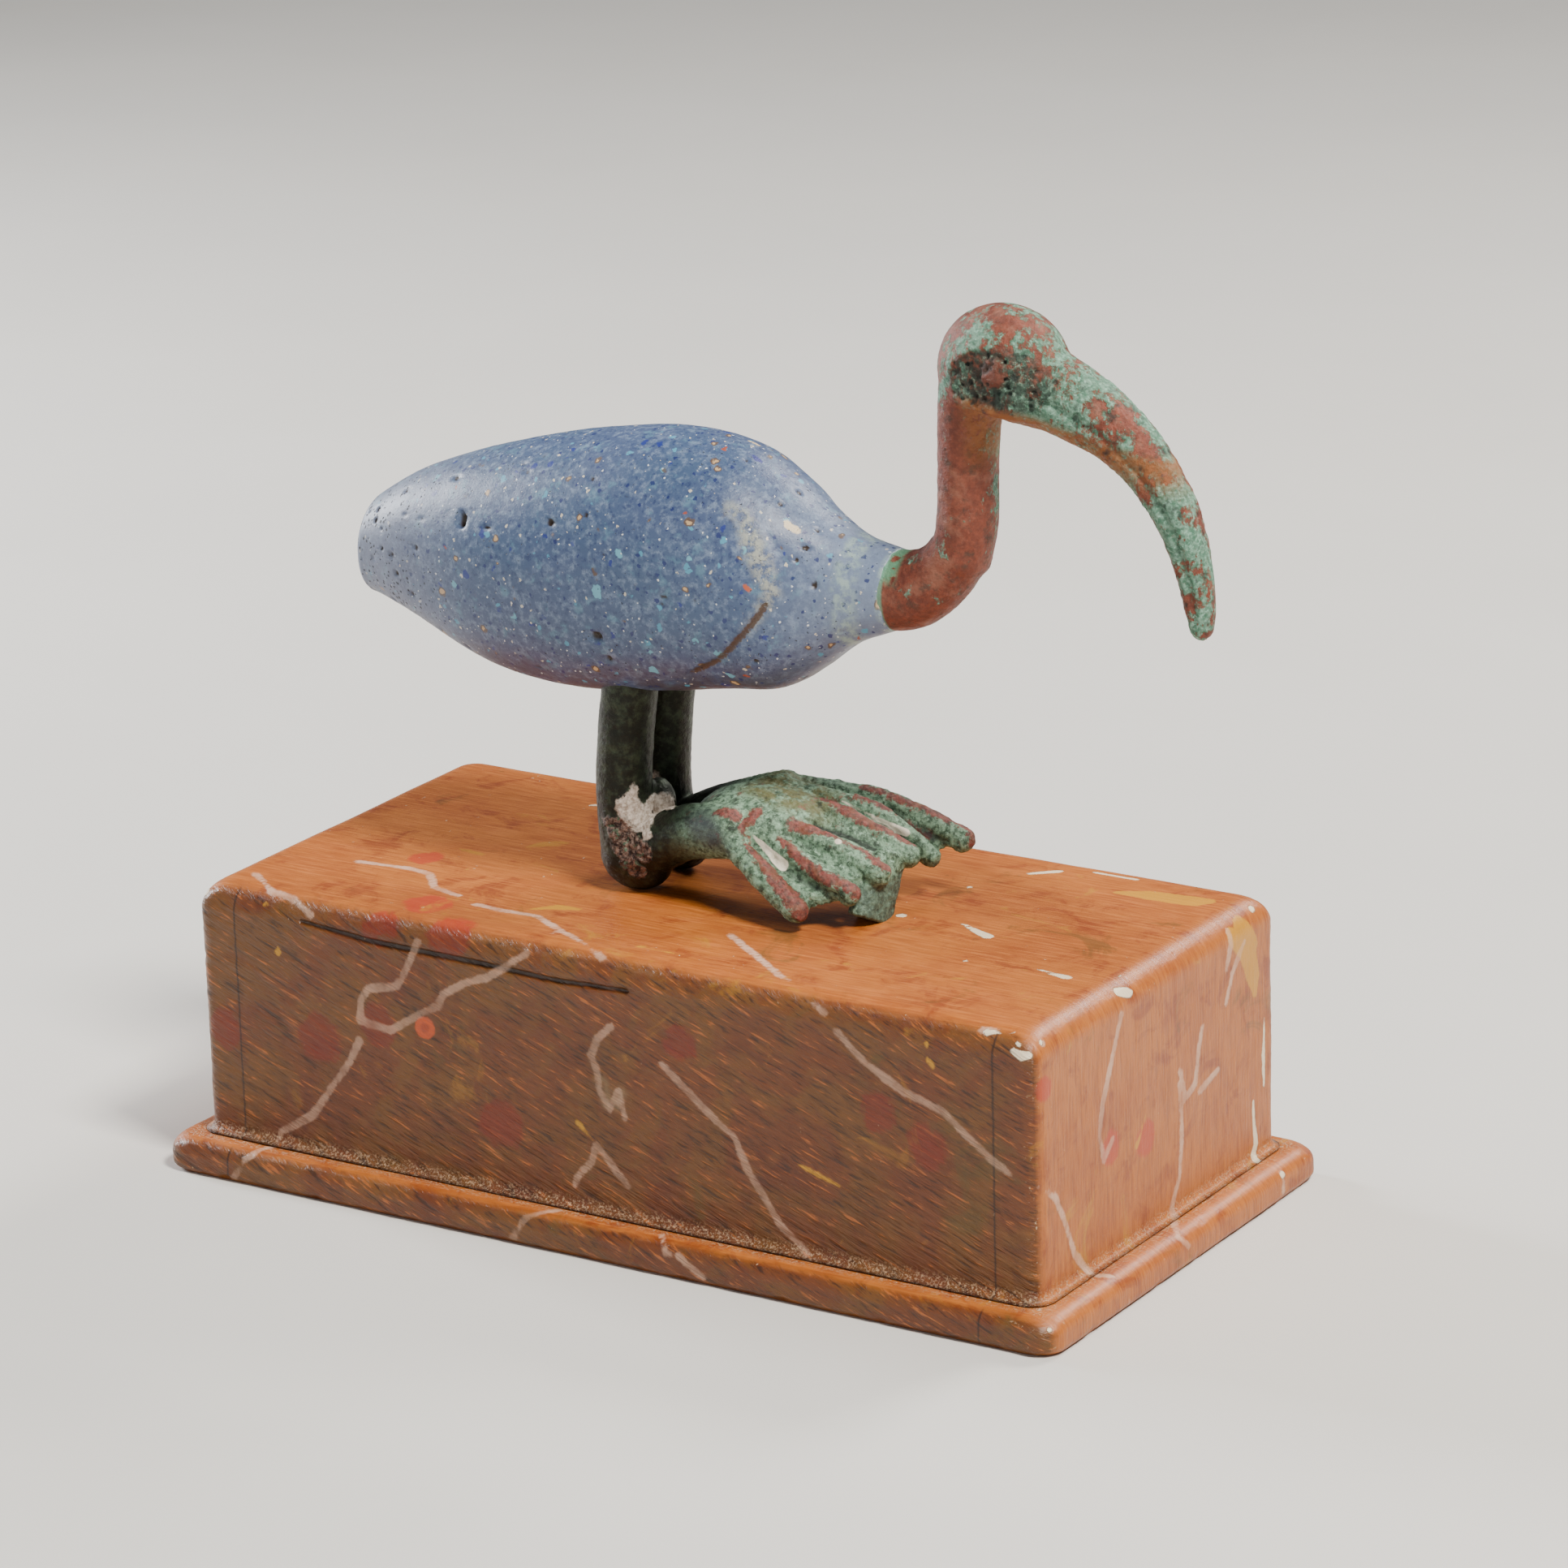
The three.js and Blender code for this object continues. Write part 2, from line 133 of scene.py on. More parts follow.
CHEEK = {"x": 46.6, "z": 116.0, "long": 7.8, "high": 4.4, "half_width": 5.75}
EYE = {"x": 45.8, "z": 117.1, "radius": 2.1, "proud": 0.9}

# Shins, heels and insteps: x and height above the block
SHIN_RADIUS = 3.75
SHIN_LINE = [(-11.6, 4.0), (-12.2, 13.0), (-11.5, 22.0), (-10.2, 30.5)]
SHIN_Y = (-6.2, 3.2)
HEEL = {"x": -10.4, "h": 4.6, "long": 5.4, "high": 4.9}
INSTEP_RADIUS = 3.7
INSTEPS = [
    [(-9.5, -6.3, 4.8), (-2.4, -6.3, 8.8), (5.5, -7.0, 10.4)],
    [(-9.5, 3.2, 5.2), (-3.0, 3.2, 8.7), (6.5, 4.2, 12.0)],
]
TOES = [
    ([(3.2, -8.0, 11.6), (11.2, -10.3, 6.6), (17.6, -11.3, 2.5)], 1.7),
    ([(5.5, -6.2, 11.9), (14.5, -7.0, 8.3), (23.4, -7.6, 4.6)], 1.5),
    ([(6.5, -4.0, 12.3), (17.0, -3.9, 9.6), (25.4, -3.2, 6.3)], 1.5),
    ([(7.5, 0.5, 13.0), (18.0, 2.0, 11.0), (25.8, 3.7, 6.8)], 1.5),
    ([(7.5, 3.2, 13.5), (19.0, 5.4, 11.3), (26.6, 7.6, 5.8)], 1.5),
    ([(5.0, 5.2, 13.3), (18.6, 8.8, 11.8), (29.4, 11.4, 7.3)], 1.65),
]
SADDLE = {"centre": (6.2, -0.8, 10.4), "radii": (9.5, 8.4, 4.5)}
REPAIR = {"centre": (-9.2, -2.4, 10.4), "radii": (2.3, 2.4, 3.9)}
TANG = [(23.4, -2.9, -0.3, 2.2, 5.0), (23.7, -1.0, 3.4, 1.9, 4.2), (23.9, 1.9, 7.2, 1.6, 3.2)]

# Strokes on the bronze, each a line of x, y, height above the block and half the width
FILLINGS = [
    [(8.4, -8.5, 11.7, 0.1), (10.8, -8.2, 9.5, 0.45), (13.9, -8.8, 7.7, 0.75)],
    [(15.7, 3.4, 13.0, 0.12), (20.1, 4.3, 11.2, 0.3), (24.0, 5.6, 9.3, 0.5)],
    [(17.7, 6.8, 12.5, 0.15), (20.7, 7.4, 11.5, 0.15)],
    [(19.6, -4.1, 10.2, 0.45)],
]
CRIMSON = [
    [(6.5, -8.4, 13.0, 1.0), (4.6, -8.9, 13.3, 0.8)],
    [(8.8, -6.6, 13.4, 0.7), (8.0, -9.3, 11.4, 0.5), (12.5, -10.6, 7.8, 0.8), (15.2, -11.4, 5.8, 1.1), (19.0, -12.0, 2.7, 1.2)],
    [(12.7, -7.3, 10.4, 0.4), (16.3, -8.0, 8.5, 0.7), (19.4, -8.4, 7.0, 0.8), (24.6, -7.8, 5.3, 0.9)],
    [(13.0, -5.0, 11.8, 0.9), (18.4, -3.4, 10.4, 0.7), (22.2, -2.6, 8.9, 0.8), (26.0, -3.0, 7.4, 0.9)],
    [(13.8, 2.1, 13.2, 0.9), (17.6, 1.6, 12.4, 0.9), (20.2, 1.6, 11.3, 0.6), (23.2, 2.7, 10.0, 0.5), (25.8, 4.2, 8.2, 0.7)],
    [(17.0, 4.8, 13.3, 0.5), (20.6, 5.9, 12.0, 0.5), (22.9, 7.3, 10.3, 0.4), (25.8, 8.2, 8.4, 0.6)],
    [(16.3, 7.8, 13.8, 0.4), (21.6, 8.9, 12.4, 0.6), (25.1, 10.1, 11.0, 0.6), (28.3, 11.6, 9.3, 0.7), (30.8, 11.4, 7.6, 0.9)],
    [(-7.8, -9.4, 4.2, 1.2), (-5.0, -8.8, 4.6, 1.1)],
]
TOE_GROOVES = [
    [(12.6, -9.0, 8.2, 0.1), (16.9, -9.3, 6.3, 0.15), (22.0, -9.2, 4.4, 0.2)],
    [(13.0, -3.2, 11.7, 0.1), (15.1, -2.4, 11.3, 0.15), (19.1, -0.9, 10.2, 0.25), (22.9, 0.1, 8.4, 0.3)],
    [(17.0, 3.2, 12.0, 0.1), (21.9, 4.4, 10.0, 0.15), (26.4, 5.4, 7.4, 0.2)],
    [(20.0, 7.2, 11.8, 0.1), (23.6, 7.6, 10.2, 0.15), (27.6, 9.2, 7.2, 0.2)],
]
PLASTER = [
    [(-9.1, -8.4, 14.4, 0.5), (-9.9, -8.9, 12.0, 1.7), (-8.4, -8.0, 10.0, 1.7)],
    [(-10.9, -0.6, 13.8, 0.5), (-9.8, -1.5, 11.2, 1.8), (-7.0, -5.0, 10.6, 1.8), (-4.3, -6.6, 11.8, 0.6)],
    [(-8.6, -5.3, 10.4, 2.4), (-6.6, -9.0, 8.7, 0.9)],
]
CRUST = [
    [(-12.8, -9.2, 9.8, 0.8), (-10.9, -9.5, 9.0, 1.7), (-9.6, -9.7, 6.6, 2.0), (-7.2, -9.4, 6.4, 1.5)],
    [(-9.4, -9.6, 4.4, 1.2), (-8.0, -9.5, 3.4, 1.0)],
]

# Paint on the plinth's faces: strokes of x, y, z and half the width, and soft patches of x, y, z and radius
DROPS = [
    [(61.4, -31.4, 38.4, 0.35), (62.7, -31.6, 37.9, 0.65), (63.6, -31.2, 38.1, 0.5)],
    [(61.9, -30.9, 39.2, 0.4)], [(60.6, -29.5, 40.3, 0.35)], [(62.5, -5.9, 40.4, 0.4)],
    [(63.9, -8.9, 39.5, 0.7), (64.4, -7.2, 38.9, 0.8)], [(64.3, -6.4, 38.6, 0.4)], [(63.8, 27.0, 39.5, 0.6)],
    [(65.0, 28.2, 24.0, 0.15), (65.0, 27.9, 19.0, 0.5), (65.0, 28.0, 14.6, 0.3)],
    [(65.0, 25.0, 13.2, 0.3), (65.0, 25.3, 9.6, 0.45), (65.0, 25.7, 7.0, 0.6), (65.2, 24.4, 5.3, 0.6)],
    [(69.2, 25.3, 3.7, 0.6)], [(68.2, -34.9, 3.8, 0.4)], [(65.2, -32.4, 5.2, 0.45)], [(26.2, 0.4, 40.7, 0.75)],
    [(-64.0, -30.6, 39.0, 0.6), (-64.8, -29.8, 38.2, 0.5)], [(-68.6, -35.4, 3.9, 0.5)],
    [(34.6, 1.5, 40.7, 0.2), (37.8, -0.2, 40.7, 0.55), (40.3, -1.3, 40.7, 0.75)],
    [(51.3, -8.9, 40.7, 0.1), (54.6, -9.8, 40.7, 0.4), (57.0, -10.1, 40.7, 0.7)], [(42.6, -10.7, 40.7, 0.45)],
    [(32.5, 22.9, 40.7, 0.35), (35.6, 25.6, 40.7, 0.5)], [(39.8, 27.4, 40.7, 0.3), (46.4, 27.4, 40.7, 0.35)],
    [(57.2, -30.3, 39.9, 0.6), (57.6, -30.2, 39.9, 0.35), (64.0, -28.8, 39.1, 0.45)], [(28.3, 14.4, 40.7, 0.5)],
    [(10.0, 19.0, 40.7, 0.4)], [(-35.5, 20.0, 40.7, 0.4), (-33.0, 21.5, 40.7, 0.35)], [(-58.0, 12.0, 40.7, 0.4)],
]
YELLOW = [
    [(-18.5, -20.3, 40.7, 0.2), (-15.5, -17.8, 40.7, 0.9), (-12.4, -17.2, 40.7, 0.4)],
    [(2.5, -25.6, 40.7, 0.6), (3.2, -25.5, 40.7, 0.35), (11.5, -26.2, 40.7, 0.1)],
    [(-51.4, -31.85, 33.2, 0.3), (-51.5, -31.85, 32.6, 0.5)], [(-53.6, -31.2, 38.9, 0.4)], [(-35.0, -10.6, 40.7, 0.4)],
    [(49.1, -31.8, 37.2, 0.5)], [(49.3, -31.8, 35.2, 0.3), (49.9, -31.8, 34.4, 0.45)],
    [(65.0, -3.6, 22.0, 0.1), (65.0, -5.4, 19.0, 0.3), (65.0, -6.5, 17.8, 0.5)],
    [(64.8, 20.0, 38.0, 1.4), (65.0, 23.6, 35.4, 2.2), (65.0, 25.4, 30.6, 1.6), (65.0, 25.6, 28.2, 0.7)],
    [(64.6, 22.7, 38.6, 1.6), (65.0, 24.8, 35.0, 1.8)],
    [(46.6, 21.6, 40.7, 0.6), (50.7, 22.6, 40.7, 1.7), (57.0, 23.2, 40.7, 1.9), (58.8, 24.2, 40.7, 1.0)],
    [(-4.0, -31.85, 17.0, 0.5), (-2.0, -31.85, 15.0, 0.2)], [(30.0, -31.85, 17.5, 0.25), (36.0, -31.85, 15.6, 0.3)],
]
RING = (-27.9, -31.85, 26.0)
RED = [
    (-35.5, -31.85, 25.2, 4.5), (-45.3, -31.85, 21.5, 5.0), (-16.0, -31.85, 14.5, 5.0), (-35.0, -31.3, 38.7, 4.0),
    (-24.0, -30.7, 39.4, 5.0), (-42.6, -9.6, 40.7, 3.5), (-31.5, -24.8, 40.7, 5.0), (41.8, -31.85, 26.7, 4.0),
    (48.8, -31.85, 23.5, 4.5), (12.2, -31.85, 30.9, 3.5), (65.0, -29.4, 33.3, 2.5), (-61.0, -31.85, 20.0, 4.0),
    (65.0, -13.0, 20.0, 3.5), (65.0, -4.0, 18.0, 3.5), (20.0, 31.85, 24.0, 6.0), (-30.0, 31.85, 15.0, 6.0),
    (-65.0, 5.0, 22.0, 6.0),
]
CREASES = [
    [(-47.5, -31.85, 37.6, 0.05), (-36.6, -31.85, 36.6, 0.15), (-17.6, -31.85, 36.4, 0.15), (-6.6, -31.85, 36.1, 0.1),
     (4.3, -31.85, 36.5, 0.02)],
]
FAINT = [
    [(-0.3, -31.85, 23.6, 0.9), (1.2, -31.85, 21.2, 1.7), (3.0, -31.85, 22.4, 0.8)],
]

# Pale veins brushed on the paint, as points on the block's and the foot slab's faces
FRONT_Y = -31.85
VEINS = [
    [(-28.6, FRONT_Y, 37.9), (-30.8, FRONT_Y, 33.1), (-32.1, FRONT_Y, 31.1), (-36.9, FRONT_Y, 29.9),
     (-38.2, FRONT_Y, 27.8), (-38.5, FRONT_Y, 25.2), (-33.5, FRONT_Y, 24.6), (-28.1, FRONT_Y, 28.1),
     (-25.7, FRONT_Y, 29.4), (-24.7, FRONT_Y, 31.3), (-21.3, FRONT_Y, 33.3), (-17.4, FRONT_Y, 34.8),
     (-11.5, -31.2, 38.8), (-10.0, -25.4, 40.7), (-16.1, -22.1, 40.7), (-21.2, -22.3, 40.7), (-26, -21.9, 40.7)],
    [(-38.6, FRONT_Y, 22.4), (-40.5, FRONT_Y, 18.9), (-44.1, FRONT_Y, 14.2), (-47.0, FRONT_Y, 10.2),
     (-52.6, FRONT_Y, 6.8), (-53.3, -32.6, 5.1), (-55.1, -35.6, 4.3), (-57.8, -36.3, 0.4)],
    [(1.7, FRONT_Y, 31.3), (-0.5, FRONT_Y, 29.3), (-1.6, FRONT_Y, 26.8), (-0.7, FRONT_Y, 24.8),
     (-0.4, FRONT_Y, 22.0), (1.0, FRONT_Y, 19.7), (2.6, FRONT_Y, 22.5), (3.4, FRONT_Y, 19.0)],
    [(-1.4, FRONT_Y, 14.3), (-2.1, FRONT_Y, 11.9), (-4.3, FRONT_Y, 9.5), (-6.4, -33.5, 5.1),
     (-10.0, -35.8, 4.1), (-12.1, -36.3, 0.7)],
    [(-1.1, FRONT_Y, 14.4), (1.3, FRONT_Y, 11.6), (3.5, FRONT_Y, 9.6)],
    [(9.4, FRONT_Y, 27.5), (16.1, FRONT_Y, 22.2), (20.3, FRONT_Y, 19.4), (22.0, FRONT_Y, 15.5),
     (26.7, FRONT_Y, 8.6), (31.5, -32.4, 5.1)],
    [(36.0, FRONT_Y, 36.5), (39.5, FRONT_Y, 33.5), (45.4, FRONT_Y, 30.3), (51.3, FRONT_Y, 28.6),
     (54.7, FRONT_Y, 26.0), (58.2, FRONT_Y, 23.4), (64.2, -30.6, 20.5), (65.0, -27.0, 17.8),
     (65.0, -24.7, 13.4), (65.0, -22.7, 8.9), (65.0, -19.7, 5.6), (67.8, -18.4, 4.9), (69.5, -16.3, 0.0)],
    [(65.0, -10.0, 36.8), (65.0, -11.8, 33.1), (65.0, -15.1, 26.5), (65.0, -16.0, 22.5),
     (65.0, -14.8, 18.8), (65.0, -12.7, 20.8)],
    [(65.0, 11.2, 28.3), (65.0, 10.1, 24.8), (65.0, 9.4, 21.1), (65.0, 6.5, 19.8), (65.0, 5.1, 24.2)],
    [(65.0, 10.5, 19.6), (65.0, 15.5, 20.9)],
    [(65.0, 5.0, 22.5), (65.0, 5.6, 15.1), (65.0, 4.9, 9.7), (65.1, 2.0, 5.1), (68.5, -2.3, 4.5), (69.4, -1.0, 3.0)],
    [(64.4, 19.4, 38.7), (65.0, 19.1, 36.9), (65.0, 17.9, 34.0)],
    [(65.0, 22.8, 36.3), (65.0, 19.4, 32.9), (65.0, 17.8, 29.5)],
    [(-59.3, -25.5, 40.7), (-53.5, -29.6, 40.2), (-50.0, -29.9, 40.1), (-46.1, -31.3, 38.6)],
    [(-50.1, -14.9, 40.7), (-42.7, -14.1, 40.7), (-38.4, -14.5, 40.7), (-34.6, -18.9, 40.7), (-29.8, -20.1, 40.7)],
    [(-10.0, -25.4, 40.7), (-0.2, -30.2, 39.9)],
    [(10.5, -16.4, 40.7), (24.4, -26.6, 40.7), (33.9, -31.3, 38.7)],
    [(56.3, -30.1, 40.0), (64.2, -28.6, 39.0)],
    [(10.0, -34.0, 5.1), (12.0, -36.2, 3.4)],
    [(13.8, -36.2, 3.4), (17.6, -36.3, 1.2)],
    [(69.0, 25.2, 3.9), (69.5, 25.0, 1.2)],
]


class FigureSizes(bpy.types.PropertyGroup):
    """Sizes that a user would change, in metres."""

    voxel: FloatProperty(
        name="Bronze detail", description="Size of the cells that fuse the cast pieces",
        default=0.00023, min=0.0001, unit="LENGTH", precision=5)
    body_rings: IntProperty(
        name="Body rings", description="Rings along the frit body", default=250, min=40)
    body_sides: IntProperty(
        name="Body sides", description="Points round each ring of the frit body", default=300, min=24)
    paint_spacing: FloatProperty(
        name="Paint detail", description="Distance between the points of the plinth's faces",
        default=0.00075, min=0.0004, unit="LENGTH", precision=5)
    cove: FloatProperty(
        name="Cove", description="Radius of the hollow where the block meets the foot slab",
        default=0.0011, min=0, unit="LENGTH", precision=5)
    brush_relief: FloatProperty(
        name="Brush relief", description="Height of the brush marks in the paint",
        default=0.00012, min=0, unit="LENGTH", precision=5)
    breast_sink: FloatProperty(
        name="Breast sink", description="How far the breast lies below the wings",
        default=0.00055, min=0, unit="LENGTH", precision=5)
    corrosion: FloatProperty(
        name="Corrosion", description="Height of the bronze's rough corrosion",
        default=0.00016, min=0, unit="LENGTH", precision=5)
    vein_width: FloatProperty(
        name="Vein width", description="Half the width of a brushed vein",
        default=0.0005, min=0.0001, unit="LENGTH", precision=5)


class FigureColours(bpy.types.PropertyGroup):
    """Colours that a user would change."""

    frit: FloatVectorProperty(
        name="Frit", description="Ground blue of the body", subtype="COLOR", default=(0.055, 0.082, 0.165), min=0, max=1)
    cuprite: FloatVectorProperty(
        name="Cuprite", description="Red-brown corrosion", subtype="COLOR", default=(0.13, 0.032, 0.018), min=0, max=1)
    verdigris: FloatVectorProperty(
        name="Verdigris", description="Pale green corrosion", subtype="COLOR", default=(0.17, 0.30, 0.215), min=0, max=1)
    plaster: FloatVectorProperty(
        name="Plaster", description="Pale repair and fillings", subtype="COLOR", default=(0.60, 0.53, 0.45), min=0, max=1)
    paint: FloatVectorProperty(
        name="Paint", description="Orange-brown of the plinth", subtype="COLOR", default=(0.33, 0.085, 0.012), min=0, max=1)
    vein: FloatVectorProperty(
        name="Vein", description="Pale brushed veins", subtype="COLOR", default=(0.58, 0.36, 0.25), min=0, max=1)


def catmull(points, t):
    """Places along a smooth line through the points, for t from 0 to 1."""
    points = np.asarray(points, float)
    s = np.clip(t, 0, 1) * (len(points) - 1)
    i = np.minimum(s.astype(int), len(points) - 2)
    u = (s - i)[:, None]
    ends = np.concatenate([[2 * points[0] - points[1]], points, [2 * points[-1] - points[-2]]])
    a, b, c, d = ends[i], ends[i + 1], ends[i + 2], ends[i + 3]
    before, after = (c - a) / 2, (d - b) / 2
    return (2 * b - 2 * c + before + after) * u**3 + (3 * c - 3 * b - 2 * before - after) * u**2 + before * u + b


def smoothstep(value, low, high):
    t = np.clip((value - low) / (high - low), 0, 1)
    return t * t * (3 - 2 * t)


def closed_rows(rings):
    """Points and faces of a shell through the rings, closed with a fan at each end."""
    rows, sides = rings.shape[:2]
    points = np.concatenate([rings.reshape(-1, 3), [rings[0].mean(0)], [rings[-1].mean(0)]])
    faces = []
    for i in range(rows - 1):
        for j in range(sides):
            a, b = i * sides + j, i * sides + (j + 1) % sides
            faces.append((a, b, b + sides, a + sides))
    first, last = rows * sides, rows * sides + 1
    for j in range(sides):
        k = (j + 1) % sides
        faces.append((first, k, j))
        faces.append((last, (rows - 1) * sides + j, (rows - 1) * sides + k))
    return points, faces


def sweep(stations, steps=40, sides=40, domes=(0, 0)):
    """A closed tube along stations of x, y, z, half thickness and half width across Y, with domed ends."""
    stations = np.asarray(stations, float)
    t = np.linspace(0, 1, steps + 1)
    k = np.sin(np.linspace(1.48, 0.12, 7))
    t = np.concatenate([np.zeros(7 * bool(domes[0])), t, np.ones(7 * bool(domes[1]))])
    shrink = np.ones(len(t))
    push = np.zeros(len(t))
    if domes[0]:
        shrink[:7], push[:7] = np.sqrt(1 - k**2), -k * domes[0]
    if domes[1]:
        shrink[-7:], push[-7:] = np.sqrt(1 - k[::-1] ** 2), k[::-1] * domes[1]
    row = catmull(stations, t)
    along = catmull(stations, t + 1e-4)[:, :3] - catmull(stations, t - 1e-4)[:, :3]
    along /= np.linalg.norm(along, axis=1)[:, None]
    across = np.array([0.0, 1.0, 0.0]) - along * along[:, 1:2]
    across /= np.linalg.norm(across, axis=1)[:, None]
    up = np.cross(along, across)
    angle = np.linspace(0, 2 * math.pi, sides, endpoint=False)[None, :, None]
    centre = (row[:, :3] + along * push[:, None])[:, None]
    thick, wide = row[:, 3] * shrink, row[:, 4] * shrink
    rings = centre + np.cos(angle) * (across * wide[:, None])[:, None] + np.sin(angle) * (up * thick[:, None])[:, None]
    return closed_rows(rings)


def egg(centre, radii, sides=48):
    turn = np.linspace(0.04, math.pi - 0.04, sides // 2)[:, None]
    angle = np.linspace(0, 2 * math.pi, sides, endpoint=False)[None, :]
    ring = np.stack([np.sin(turn) * np.cos(angle), np.sin(turn) * np.sin(angle), -np.cos(turn) + 0 * angle], axis=2)
    return closed_rows(np.asarray(centre) + ring * np.asarray(radii))


def mesh_object(name, shapes):
    """One object from closed shapes in millimetres, each given as points and faces."""
    points, faces = [], []
    for shape_points, shape_faces in shapes:
        base = len(points)
        points.extend(map(tuple, np.asarray(shape_points) * MM))
        faces.extend(tuple(base + i for i in face) for face in shape_faces)
    mesh = bpy.data.meshes.new(name)
    mesh.from_pydata(points, [], faces)
    piece = bpy.data.objects.new(name, mesh)
    bpy.context.collection.objects.link(piece)
    return piece


def fuse(piece, voxel):
    """Fuses overlapping closed shapes into one skin of even cells."""
    remesh = piece.modifiers.new("Fuse", "REMESH")
    remesh.mode = "VOXEL"
    remesh.voxel_size = voxel
    plain(piece)


def plain(piece):
    """Replaces the object's mesh by what its modifiers make of it, and removes them."""
    evaluated = piece.evaluated_get(bpy.context.evaluated_depsgraph_get())
    mesh = bpy.data.meshes.new_from_object(evaluated)
    piece.modifiers.clear()
    old = piece.data
    piece.data = mesh
    bpy.data.meshes.remove(old)


def points_of(piece):
    """The mesh's points in millimetres."""
    co = np.empty(len(piece.data.vertices) * 3)
    piece.data.vertices.foreach_get("co", co)
    return co.reshape(-1, 3) / MM


def normals_of(piece):
    normal = np.empty(len(piece.data.vertices) * 3, dtype=np.float32)
    piece.data.vertex_normals.foreach_get("vector", normal)
    return normal.reshape(-1, 3).astype(float)


def normals_flat(normals, level):
    """The normals, turned level where asked."""
    flat = normals * (1, 1, 0)
    flat /= np.maximum(np.linalg.norm(flat, axis=1), 0.3)[:, None]
    return np.where(level[:, None], flat, normals)


def set_points(piece, points):
    piece.data.vertices.foreach_set("co", (points * MM).ravel())
    piece.data.update()


def relax(piece, rounds, amount=0.5):
    """Evens out the skin by moving each point towards the middle of its neighbours."""
    points = points_of(piece)
    edges = np.empty(len(piece.data.edges) * 2, dtype=np.int64)
    piece.data.edges.foreach_get("vertices", edges)
    a, b = edges.reshape(-1, 2).T
    count = np.bincount(a, minlength=len(points)) + np.bincount(b, minlength=len(points))
    for _ in range(rounds):
        total = np.zeros_like(points)
        for axis in range(3):
            total[:, axis] = np.bincount(a, points[b, axis], len(points)) + np.bincount(b, points[a, axis], len(points))
        points += amount * (total / count[:, None] - points)
    set_points(piece, points)


def push_out(piece, height):
    """Moves each point along its normal by that many millimetres."""
    set_points(piece, points_of(piece) + normals_of(piece) * height[:, None])


def store(piece, name, values):
    """Keeps one number per point for the material to read."""
    attribute = piece.data.attributes.new(name, "FLOAT", "POINT")
    attribute.data.foreach_set("value", np.asarray(values, dtype=np.float32))


def bumps(points, size, seed, octaves=3, gain=0.9):
    """Smooth noise at each point, about -1 to 1, with its largest features that size in millimetres."""
    shift = Vector((seed * 7.31, seed * 3.17, seed * 5.53))
    return np.array([noise.fractal(Vector(p) + shift, gain, 2.1, octaves) for p in points / size])


def pocks(points, size, seed):
    """Distance to the nearest of scattered centres that far apart, as a share of that distance."""
    shift = Vector((seed * 4.71, seed * 6.37, seed * 2.93))
    return np.array([noise.voronoi(Vector(p) + shift)[0][0] for p in points / size])


def stroke_gap(points, strokes):
    """How far each point lies outside the strokes' edges; a stroke is a line of x, y, z and half width."""
    gap = np.full(len(points), 9.0)
    for stroke in strokes:
        ends = stroke[1:] or stroke
        for a, b in zip(np.array(stroke, float), np.array(ends, float)):
            along = b[:3] - a[:3]
            t = np.clip((points - a[:3]) @ along / max(along @ along, 1e-9), 0, 1)
            away = np.linalg.norm(points - a[:3] - t[:, None] * along, axis=1)
            gap = np.minimum(gap, away - a[3] - (b[3] - a[3]) * t)
    return gap


def finish_piece(piece, node, material):
    """Shades the piece smooth, and lets it stand for its solid."""
    piece.data.materials.clear()
    piece.data.materials.append(material)
    piece.data.polygons.foreach_set("use_smooth", [True] * len(piece.data.polygons))
    piece.data.update()
    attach(piece, "root")
    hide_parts(node)


class Term:
    """A shader socket that takes part in sums and products, each of which adds a Math node."""

    def __init__(self, finish, socket):
        self.finish = finish
        self.socket = socket

    def math(self, operation, first, second):
        return self.finish.node("ShaderNodeMath", {"operation": operation}, {0: first, 1: second})

    def __add__(self, other):
        return self.math("ADD", self, other)

    def __radd__(self, other):
        return self.math("ADD", other, self)

    def __sub__(self, other):
        return self.math("SUBTRACT", self, other)

    def __rsub__(self, other):
        return self.math("SUBTRACT", other, self)

    def __mul__(self, other):
        return self.math("MULTIPLY", self, other)

    def __rmul__(self, other):
        return self.math("MULTIPLY", other, self)

    def between(self, low, high):
        """0 at low and 1 at high, with a smooth rise; low may be above high."""
        return self.finish.node(
            "ShaderNodeMapRange", {"interpolation_type": "SMOOTHSTEP"},
            {"Value": self, "From Min": low, "From Max": high, "To Min": 0.0, "To Max": 1.0})

    def limit(self):
        return self.finish.node("ShaderNodeClamp", {}, {"Value": self})

    def also(self, output):
        """Another output of the same node."""
        return Term(self.finish, self.socket.node.outputs[output])


